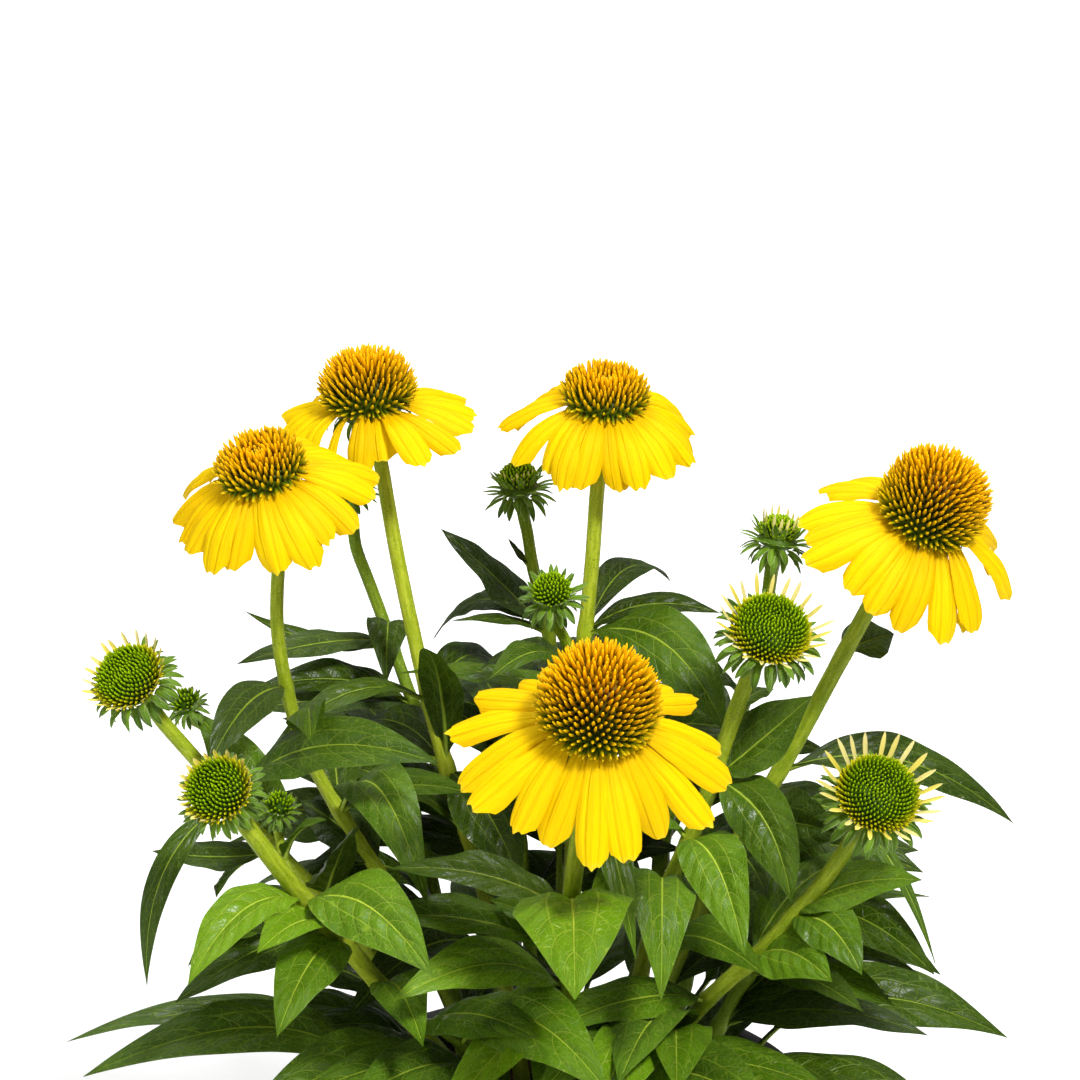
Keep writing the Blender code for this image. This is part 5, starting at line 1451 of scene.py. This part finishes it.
def cone_piece(name, mats):
    m = head_frame(name)
    _, _, _, _, _, r, h = HEADS[name]
    r, h = r * 0.001, h * 0.001
    tall = h > 0.018
    g = np.random.default_rng(ord(name))
    long = 0.0068 if tall else 0.0056
    prof = [(q[0], q[1]) for q in cone_profile(name)[3:]]
    k = (r - long * 0.70) / r
    core = [(q[0] * k, GAP + (q[1] - GAP) * (1 - long * 0.78 / h)) for q in prof]
    if not tall:
        core = core[:-2] + [(core[-2][0], core[-2][1] + 0.0003), (0.0, core[-1][1] - 0.0012)]
    prof = fine_profile(core, 60)
    prof[-1] = (0.0, prof[-1][1])
    shape = Shape()
    lathe(shape, prof, 48, m, lambda s: (0.10, 1 - s, 0.5))
    low = fine_profile([(0.0015, -0.0075), (ring_radius(name) - 0.0042, -0.0040), (ring_radius(name) - 0.0024, -0.0006), (core[0][0], core[0][1])], 14)
    pos, nor, share, w = dome_places(prof, 0.00212 if tall else 0.00196)
    up = np.array([0, 0, 1.0])
    rise = np.interp(share, [0, 0.5, 0.85, 1.0], [0.3, 0.50, 0.30, -0.05])
    way = unit(nor + up * rise[:, None] + g.normal(0, 0.055, (len(pos), 3)))
    out = np.stack([np.cos(w), np.sin(w), np.zeros_like(w)], -1)
    bend = (up * 0.22 - out * 0.10) * np.clip(share * 1.6, 0, 1)[:, None]
    length = long * np.interp(share, [0, 0.05, 0.3, 0.85, 1.0], [0.55 if not tall else 0.75, 0.84, 1.0, 0.92, 0.62]) * g.uniform(0.88, 1.12, len(pos))
    rad = 0.00070 * g.uniform(0.86, 1.12, len(pos))
    spikes(shape, to_world(m, pos), to_world(m, way, False), length, rad, [(0.0, 1.10), (0.35, 1.0), (0.68, 0.80), (0.90, 0.48)], 5, np.maximum(share, 0.03) if tall else share, g.random(len(pos)),
           to_world(m, bend, False))
    make("disc_" + name, shape, mats["disc"], ["cone_" + name])
    under = Shape()
    lathe(under, low, 36, m, lambda s: (0.35, 0.3, 0.4))
    for row in range(2):
        count = 13
        for i in range(count):
            az = 2 * math.pi * (i + 0.5 * row) / count + g.uniform(-0.1, 0.1)
            strip(under, m, az, ring_radius(name) - 0.0040 - 0.001 * row, -0.0022 - 0.0010 * row, 0.0095 - 0.0012 * row, 0.0026, 12 + 14 * row, 96 + 10 * row,
                  g, 4, 8, point=0.9, tone=g.uniform(0.0, 0.5))
    make("bracts_" + name, under, mats["bract"], ["cone_" + name])


def strip(shape, m, az, r0, z0, length, width, a0, a1, g, nu, nv, point=0.6, tone=0.4, cup=0.25, bend=0.0, zone=0.5):
    """A narrow pointed bract or ray that leaves the head at the azimuth az and curves from the angle a0 to a1 below level."""
    s = np.linspace(0, 1, nv + 1)
    a = np.radians(a0 + (a1 - a0) * s)
    step = length / nv
    r = r0 + np.concatenate([[0], np.cumsum(np.cos(a[:-1]) * step)])
    z = z0 - np.concatenate([[0], np.cumsum(np.sin(a[:-1]) * step)])
    out = np.array([math.cos(az), math.sin(az), 0])
    across = np.array([-math.sin(az), math.cos(az), 0])
    nrm = out[None, :] * np.sin(a)[:, None] + np.array([0, 0, 1.0])[None, :] * np.cos(a)[:, None]
    half = width * 0.5 * np.clip((0.62 + 0.55 * s) * np.clip(1 - s ** (2.2 if point > 0.7 else 4.5), 0.06, 1) ** 0.8, 0.02, 1)
    u = np.linspace(-1, 1, nu + 1)
    base = out[None, :] * r[:, None] + across[None, :] * (bend * length * s ** 2)[:, None] + np.array([0, 0, 1.0])[None, :] * z[:, None]
    verts = base[:, None, :] + across[None, None, :] * (u[None, :] * half[:, None])[..., None] + nrm[:, None, :] * (cup * half[:, None] * (u ** 2)[None, :])[..., None]
    uv = np.stack(np.broadcast_arrays((u * 0.5 + 0.5)[None, :], s[:, None]), -1).reshape(-1, 2)
    shape.add(to_world(m, verts.reshape(-1, 3)), [grid(nu, nv)], uv, (tone, zone, g.random()))


PETAL_S = (0.0, 0.12, 0.30, 0.55, 0.76, 0.88, 0.96, 1.0)
PETAL_W = (0.36, 0.56, 0.82, 1.0, 1.0, 0.90, 0.76, 0.60)


def rays_piece(name, mats):
    m = head_frame(name)
    g = np.random.default_rng(ord(name) + 500)
    shape = Shape()
    nu, nv = 14, 30
    r0 = ring_radius(name) - 0.0022
    for i, row in enumerate(petal_plan(name)):
        row = dict(row, length=row["length"] * (0.74 if (name, i) == ("a", 12) else 1.0) + 0.0022)
        fine, dirs = petal_line(row, r0, 60)
        fp = np.array([tuple(q) for q in fine])
        fd = np.array([tuple(q[0]) for q in dirs])
        across = np.array(tuple(dirs[0][1]))
        s = np.linspace(0, 1, nv + 1)
        u = np.linspace(-1, 1, nu + 1)
        teeth = g.choice([2, 2, 3])
        ph = g.uniform(-0.5, 0.5)
        end = 1 - g.uniform(0.08, 0.17) * np.abs(u) ** 2.4 - g.uniform(0.022, 0.062) * (0.5 + 0.5 * np.cos(2 * np.pi * (u * 0.5 + 0.5) * teeth + ph)) * (1 - np.abs(u) ** 4)
        ss = s[:, None] * (1 - (1 - end)[None, :] * np.clip((s[:, None] - 0.6) / 0.4, 0, 1) ** 1.5)
        at = ss * 60
        i0 = np.clip(at.astype(int), 0, 59)
        f = (at - i0)[..., None]
        pos = fp[i0] * (1 - f) + fp[i0 + 1] * f
        d = unit(fd[i0] * (1 - f) + fd[i0 + 1] * f)
        nrm = np.cross(d, across[None, None, :])
        nrm = nrm * np.sign(nrm[..., 2:3] + 1e-9)
        half = row["width"] * 0.5 * np.interp(ss, PETAL_S, PETAL_W)
        tw = np.radians((7 + 0.62 * row["twist"]) * (0.20 + 0.80 * ss))
        cup = g.uniform(0.30, 0.85)
        lift = -cup * u[None, :] ** 2 * half * (0.5 + 0.5 * ss)
        lift = lift + 0.075 * half * np.cos(u[None, :] * np.pi * 2.6) * np.clip(1.25 - ss, 0.2, 1)
        lift = lift + 0.05 * half * np.sin(6.28 * (ss * g.uniform(1.2, 2.2) + g.random())) * np.abs(u[None, :])
        x = u[None, :] * half
        xx = x * np.cos(tw) - lift * np.sin(tw)
        zz = x * np.sin(tw) + lift * np.cos(tw)
        verts = pos + across[None, None, :] * xx[..., None] + nrm * zz[..., None]
        verts[..., 2] += 0.0006 * ((i % 2) * 2 - 1) + g.uniform(-0.0002, 0.0002)
        uv = np.stack(np.broadcast_arrays((u * 0.5 + 0.5)[None, :], ss), -1).reshape(-1, 2)
        shape.add(to_world(m, verts.reshape(-1, 3)), [grid(nu, nv)], uv, (g.random() ** 2, 0.5, g.random()))
    make("petals_" + name, shape, mats["ray"], ["rays_" + name])


def head_piece(name, mats):
    """An opening flower, or a bud."""
    m = head_frame(name)
    _, _, _, _, _, r, h = HEADS[name]
    r, h = r * 0.001, h * 0.001
    g = np.random.default_rng(ord(name) + 900)
    opening = name in OPENING
    node = ("head_" if opening else "bud_") + name
    size = r / 0.0125
    disc, green = Shape(), Shape()
    rd = r * (0.96 if opening else 0.66)
    core = [(rd * 0.88, 0.0), (rd * 0.94, h * 0.22), (rd * 0.84, h * 0.50), (rd * 0.56, h * 0.72), (rd * 0.20, h * (0.76 if opening else 0.80)), (0.0, h * (0.72 if opening else 0.80))]
    prof = fine_profile(core, 40)
    prof[-1] = (0.0, prof[-1][1])
    lathe(disc, prof, 36, m, lambda s: (0.15, (1 - s) * 0.5, 0.4))
    pos, nor, share, w = dome_places(prof, 0.00142 if opening else 0.00126)
    up = np.array([0, 0, 1.0])
    out = np.stack([np.cos(w), np.sin(w), np.zeros_like(w)], -1)
    way = unit(nor + up * 0.55 + g.normal(0, 0.05, (len(pos), 3)))
    length = (0.0022 + 0.0016 * share) * (1.0 if opening else 0.85) * g.uniform(0.85, 1.15, len(pos))
    spikes(disc, to_world(m, pos), to_world(m, way, False), length, 0.00050 * g.uniform(0.9, 1.1, len(pos)), [(0.0, 1.05), (0.35, 1.0), (0.72, 0.80), (0.92, 0.45)], 5,
           share if opening else share * 0.5, g.random(len(pos)), to_world(m, up * 0.20 - out * 0.12, False))
    make("disc_" + name, disc, mats["young"], [node])
    # the cup under the head
    cup = [(0.0022 * max(size, 0.6), -0.0095 * size), (r * 0.42, -0.0062 * size), (r * 0.80, -0.0030 * size), (rd * 0.99, 0.0004)]
    lathe(green, fine_profile(cup, 14), 36, m, lambda s: (0.4, 0.3, 0.4))
    if opening:
        rows = ((14, 0.66, -0.0056, 0.0098, 0.0040, 30, 104), (15, 0.82, -0.0040, 0.0100, 0.0040, 12, 96), (16, 0.92, -0.0024, 0.0090, 0.0036, -8, 70), (16, 0.98, -0.0008, 0.0066, 0.0030, -34, 20))
    else:
        rows = ((12, 0.62, -0.0052, 0.0092, 0.0040, 26, 88), (13, 0.72, -0.0036, 0.0094, 0.0040, 2, 58), (13, 0.78, -0.0018, 0.0084, 0.0036, -26, 12), (13, 0.74, 0.0002, 0.0070, 0.0030, -58, -46))
    fit = size if opening else r / 0.0095
    for j, (count, rr, zz, ln, wd, a0, a1) in enumerate(rows):
        for i in range(count):
            az = 2 * math.pi * (i + 0.37 * j) / count + g.uniform(-0.12, 0.12)
            strip(green, m, az, r * rr * (1.0 if opening else 0.95), zz * fit, ln * fit * g.uniform(0.82, 1.12), wd * fit * g.uniform(0.85, 1.1), a0 + g.uniform(-8, 8), a1 + g.uniform(-16, 16),
                  g, 4, 10, point=0.9, tone=g.uniform(0, 0.9), cup=-0.35, bend=g.uniform(-0.12, 0.12))
    # hairs along the bracts' edges
    edge = Shape()
    pts = green.v[1:]
    picks = []
    for block in pts:
        arr = block.reshape(11, 5, 3)
        for col in (0, 4):
            for jv in range(1, 10):
                if g.random() < 0.75:
                    p0 = arr[jv, col]
                    picks.append((p0, (arr[jv, col] - arr[jv, 2]) + 0.6 * (arr[min(jv + 1, 10), col] - p0) / max(1e-9, np.linalg.norm(arr[min(jv + 1, 10), col] - p0)) * np.linalg.norm(arr[jv, col] - arr[jv, 2]) + 1e-7))
    if picks:
        b0 = np.array([q[0] for q in picks])
        d0 = np.array([q[1] for q in picks])
        spikes(edge, b0, d0, g.uniform(0.0004, 0.0009, len(b0)), 0.00005, [(0.0, 1.0)], 3, 0.5, g.random(len(b0)))
    make("bracts_" + name, green, mats["bract"], [node])
    make("fringe_" + name, edge, mats["hair"], [node])
    if name in "hj":
        rays = Shape()
        count, ln = (15, 0.0085) if name == "j" else (16, 0.0048)
        for i in range(count):
            az = 2 * math.pi * (i + g.uniform(-0.25, 0.25)) / count
            strip(rays, m, az, rd * 0.98, h * 0.20, ln * g.uniform(0.8, 1.1), 0.0014, -76, -88, g, 2, 8, point=0.4, tone=g.random(), cup=0.4)
        make("ligules_" + name, rays, mats["new_ray"], [node])
    if opening:
        rays = Shape()
        for i, row in enumerate(petal_plan(name)):
            strip(rays, m, row["az"], ring_radius(name) - 0.0010, 0.0008, row["length"] + 0.0010, row["width"], math.degrees(row["first"]), math.degrees(row["last"]), g, 6, 12,
                  point=0.4, tone=g.random() ** 1.5, cup=0.45, bend=row["bend"] * 0.6)
        make("ligules_" + name, rays, mats["new_ray"], [node])


# ================================================================ pot and soil
def pot_piece(mats):
    shape = Shape()
    z1 = POT_HEIGHT - 0.020
    outer = [(0.0, 0.0004), (0.030, 0.0004), (0.0305, 0.0018), (POT_BASE_R - 0.012, 0.0018), (POT_BASE_R - 0.0105, 0.0), (POT_BASE_R - 0.0022, 0.0),
             (POT_BASE_R - 0.0008, 0.0003), (POT_BASE_R, 0.0014)]
    n = 26
    for i in range(1, n + 1):
        f = i / n
        outer.append((POT_BASE_R + (POT_TOP_R - POT_BASE_R) * f, 0.0014 + (z1 - 0.0014) * f))
    outer += [(POT_RIM_R - 0.0012, z1 + 0.0001), (POT_RIM_R - 0.0004, z1 + 0.0004), (POT_RIM_R, z1 + 0.0012), (POT_RIM_R, z1 + 0.006), (POT_RIM_R - 0.0003, z1 + 0.0064),
              (POT_RIM_R - 0.0003, POT_HEIGHT - 0.0046), (POT_RIM_R, POT_HEIGHT - 0.0042), (POT_RIM_R, POT_HEIGHT - 0.0012), (POT_RIM_R - 0.0005, POT_HEIGHT - 0.0003),
              (POT_RIM_R - 0.0014, POT_HEIGHT), (POT_TOP_R - POT_WALL + 0.0012, POT_HEIGHT), (POT_TOP_R - POT_WALL + 0.0004, POT_HEIGHT - 0.0003),
              (POT_TOP_R - POT_WALL, POT_HEIGHT - 0.0012), (POT_TOP_R - POT_WALL, z1 - 0.0004)]
    for i in range(1, 8):
        f = i / 7
        outer.append((POT_TOP_R - POT_WALL + (POT_BASE_R - POT_TOP_R) * f, z1 + (POT_WALL - z1) * f))
    outer.append((0.0, POT_WALL))

    def ribs(r, z, w):
        on = np.clip((z - 0.010) / 0.004, 0, 1) * np.clip((z1 - 0.006 - z) / 0.004, 0, 1)
        outside = (r > POT_BASE_R + (POT_TOP_R - POT_BASE_R) * (z - 0.0014) / (z1 - 0.0014) - 0.0005).astype(float)
        groove = -0.0005 * np.exp(-((np.abs(((w * 24 / (2 * np.pi)) % 1.0) - 0.5) / 0.07) ** 2))
        return groove * on * outside, 0 * r

    lathe(shape, outer, 240, None, lambda s: (0.5, s, 0.5), wobble=ribs)
    obj = make("nursery_pot", shape, mats["pot"], ["pot"])
    mesh = obj.data
    mesh.set_sharp_from_angle(angle=math.radians(38))


def soil_piece(mats):
    g = np.random.default_rng(3)
    shape = Shape()
    top = SOIL_TOP + 0.0002
    r_top = pot_inner(0.130) - 2 * GAP
    prof = [(0.0, POT_WALL + GAP), (pot_inner(POT_WALL) - 2 * GAP, POT_WALL + GAP), (r_top, SOIL_TOP - 0.0035)]
    prof += [(r_top * (1 - i / 46), top - 0.0012 * (i < 1)) for i in range(0, 46)] + [(0.0, top)]
    bumps = [(g.uniform(0, 6.28), g.uniform(20, 260), g.uniform(20, 260), g.uniform(0.3, 1)) for _ in range(26)]

    def lumps(r, z, w):
        x, y = r * np.cos(w), r * np.sin(w)
        dz = np.zeros_like(x)
        for ph, kx, ky, a in bumps:
            dz += a * np.sin(kx * x + ph) * np.cos(ky * y + ph * 2.3)
        dz = dz / 26 ** 0.5 * 0.0011
        return 0 * r, np.where(z > SOIL_TOP - 0.003, dz - 0.0006, 0)

    lathe(shape, prof, 128, None, lambda s: (0.5, s, 0.2), wobble=lumps)
    # crumbs of bark and compost
    n = 650
    rr = (r_top - 0.003) * np.sqrt(g.random(n))
    w = g.uniform(0, 2 * np.pi, n)
    size = g.uniform(0.0006, 0.0022, n) * np.where(g.random(n) > 0.93, 1.9, 1.0)
    base = np.stack([rr * np.cos(w), rr * np.sin(w), np.full(n, top) - size * 0.7], -1)
    lean = np.stack([g.normal(0, 0.9, n), g.normal(0, 0.9, n), np.ones(n)], -1)
    spikes(shape, base, lean, size * 2.0, size, [(0.0, 0.5), (0.25, 1.0), (0.65, 0.9), (0.92, 0.45)], 6, 0.5, g.random(n))
    make("compost", shape, mats["soil"], ["soil"])


# ================================================================ the whole plant
def main():
    mats = {
        "leaf": leaf_material(), "stem": stem_material(), "hair": hair_material(), "ray": ray_material(), "new_ray": new_ray_material(),
        "disc": disc_material(False), "young": disc_material(True), "bract": bract_material(), "pot": pot_material(), "soil": soil_material(),
    }
    paths, leaves, basal, _ = grow()
    for name in sorted(leaves):
        label = name if name.startswith("shoot_") else "stem_" + name
        path, radius = paths[name]
        branches = [(bud, paths["branch_" + bud][0], row[2]) for bud, row in BRANCHES.items() if row[0] == name]
        stem_piece(name, label, path, radius, [q["base"] for q in leaves[name]], mats, branches)
        shape = Shape()
        rng = random.Random("leaves " + name)
        for leaf in leaves[name]:
            leaf_sheet(shape, leaf, rng)
        make("foliage_" + label, shape, mats["leaf"], [label])
    for i, leaf in enumerate(basal):
        shape = Shape()
        leaf_sheet(shape, leaf, random.Random("basal %d" % i), 18, 52)
        make("basal_leaf_%02d" % (i + 1), shape, mats["leaf"], ["leaf_%02d" % (i + 1)])
    for name in HEADS:
        if name in OPEN:
            cone_piece(name, mats)
            rays_piece(name, mats)
        else:
            head_piece(name, mats)
    pot_piece(mats)
    soil_piece(mats)


def studio():
    scene = bpy.context.scene
    mesh = bpy.data.meshes.new("floor")
    mesh.from_pydata([(-8, -6, 0), (8, -6, 0), (8, 14, 0), (-8, 14, 0)], [], [(0, 1, 2, 3)])
    mesh.materials.append(floor_material())
    floor = bpy.data.objects.new("floor", mesh)
    scene.collection.objects.link(floor)
    world = bpy.data.worlds.new("studio")
    scene.world = world
    world.use_nodes = True
    world.node_tree.nodes["Background"].inputs[0].default_value = (1.0, 1.0, 1.0, 1)
    seen = world.node_tree.nodes.new("ShaderNodeLightPath")
    level = world.node_tree.nodes.new("ShaderNodeMath")
    level.operation = "MULTIPLY_ADD"
    world.node_tree.links.new(seen.outputs["Is Camera Ray"], level.inputs[0])
    level.inputs[1].default_value = 0.74
    level.inputs[2].default_value = 0.26
    world.node_tree.links.new(level.outputs[0], world.node_tree.nodes["Background"].inputs[1])

    def lamp(name, loc, aim, size, power, colour=(1, 1, 1)):
        data = bpy.data.lights.new(name, "AREA")
        data.shape = "DISK"
        data.size = size
        data.energy = power
        data.color = colour
        obj = bpy.data.objects.new(name, data)
        scene.collection.objects.link(obj)
        obj.location = loc
        obj.rotation_euler = (Vector(aim) - Vector(loc)).to_track_quat("-Z", "Y").to_euler()

    lamp("key", (0.65, -1.10, 1.85), (0, 0, 0.28), 0.40, 49)
    lamp("fill", (-1.3, -1.1, 0.9), (0, 0, 0.28), 0.9, 9)
    lamp("top", (-0.2, 0.5, 1.9), (0, 0, 0.3), 0.8, 18)

    cam = bpy.data.cameras.new("camera")
    cam.sensor_width = 36
    cam.lens = 36 * DRAW_F / 1080
    cam.clip_start = 0.05
    cam.clip_end = 60
    obj = bpy.data.objects.new("camera", cam)
    scene.collection.objects.link(obj)
    obj.matrix_world = Matrix(((1, UPW.x, -FWD.x, EYE.x), (0, UPW.y, -FWD.y, EYE.y), (0, UPW.z, -FWD.z, EYE.z), (0, 0, 0, 1)))
    scene.camera = obj
    scene.view_settings.view_transform = "Standard"
    scene.view_settings.look = "None"


main()
studio()
bpy.context.view_layer.update()
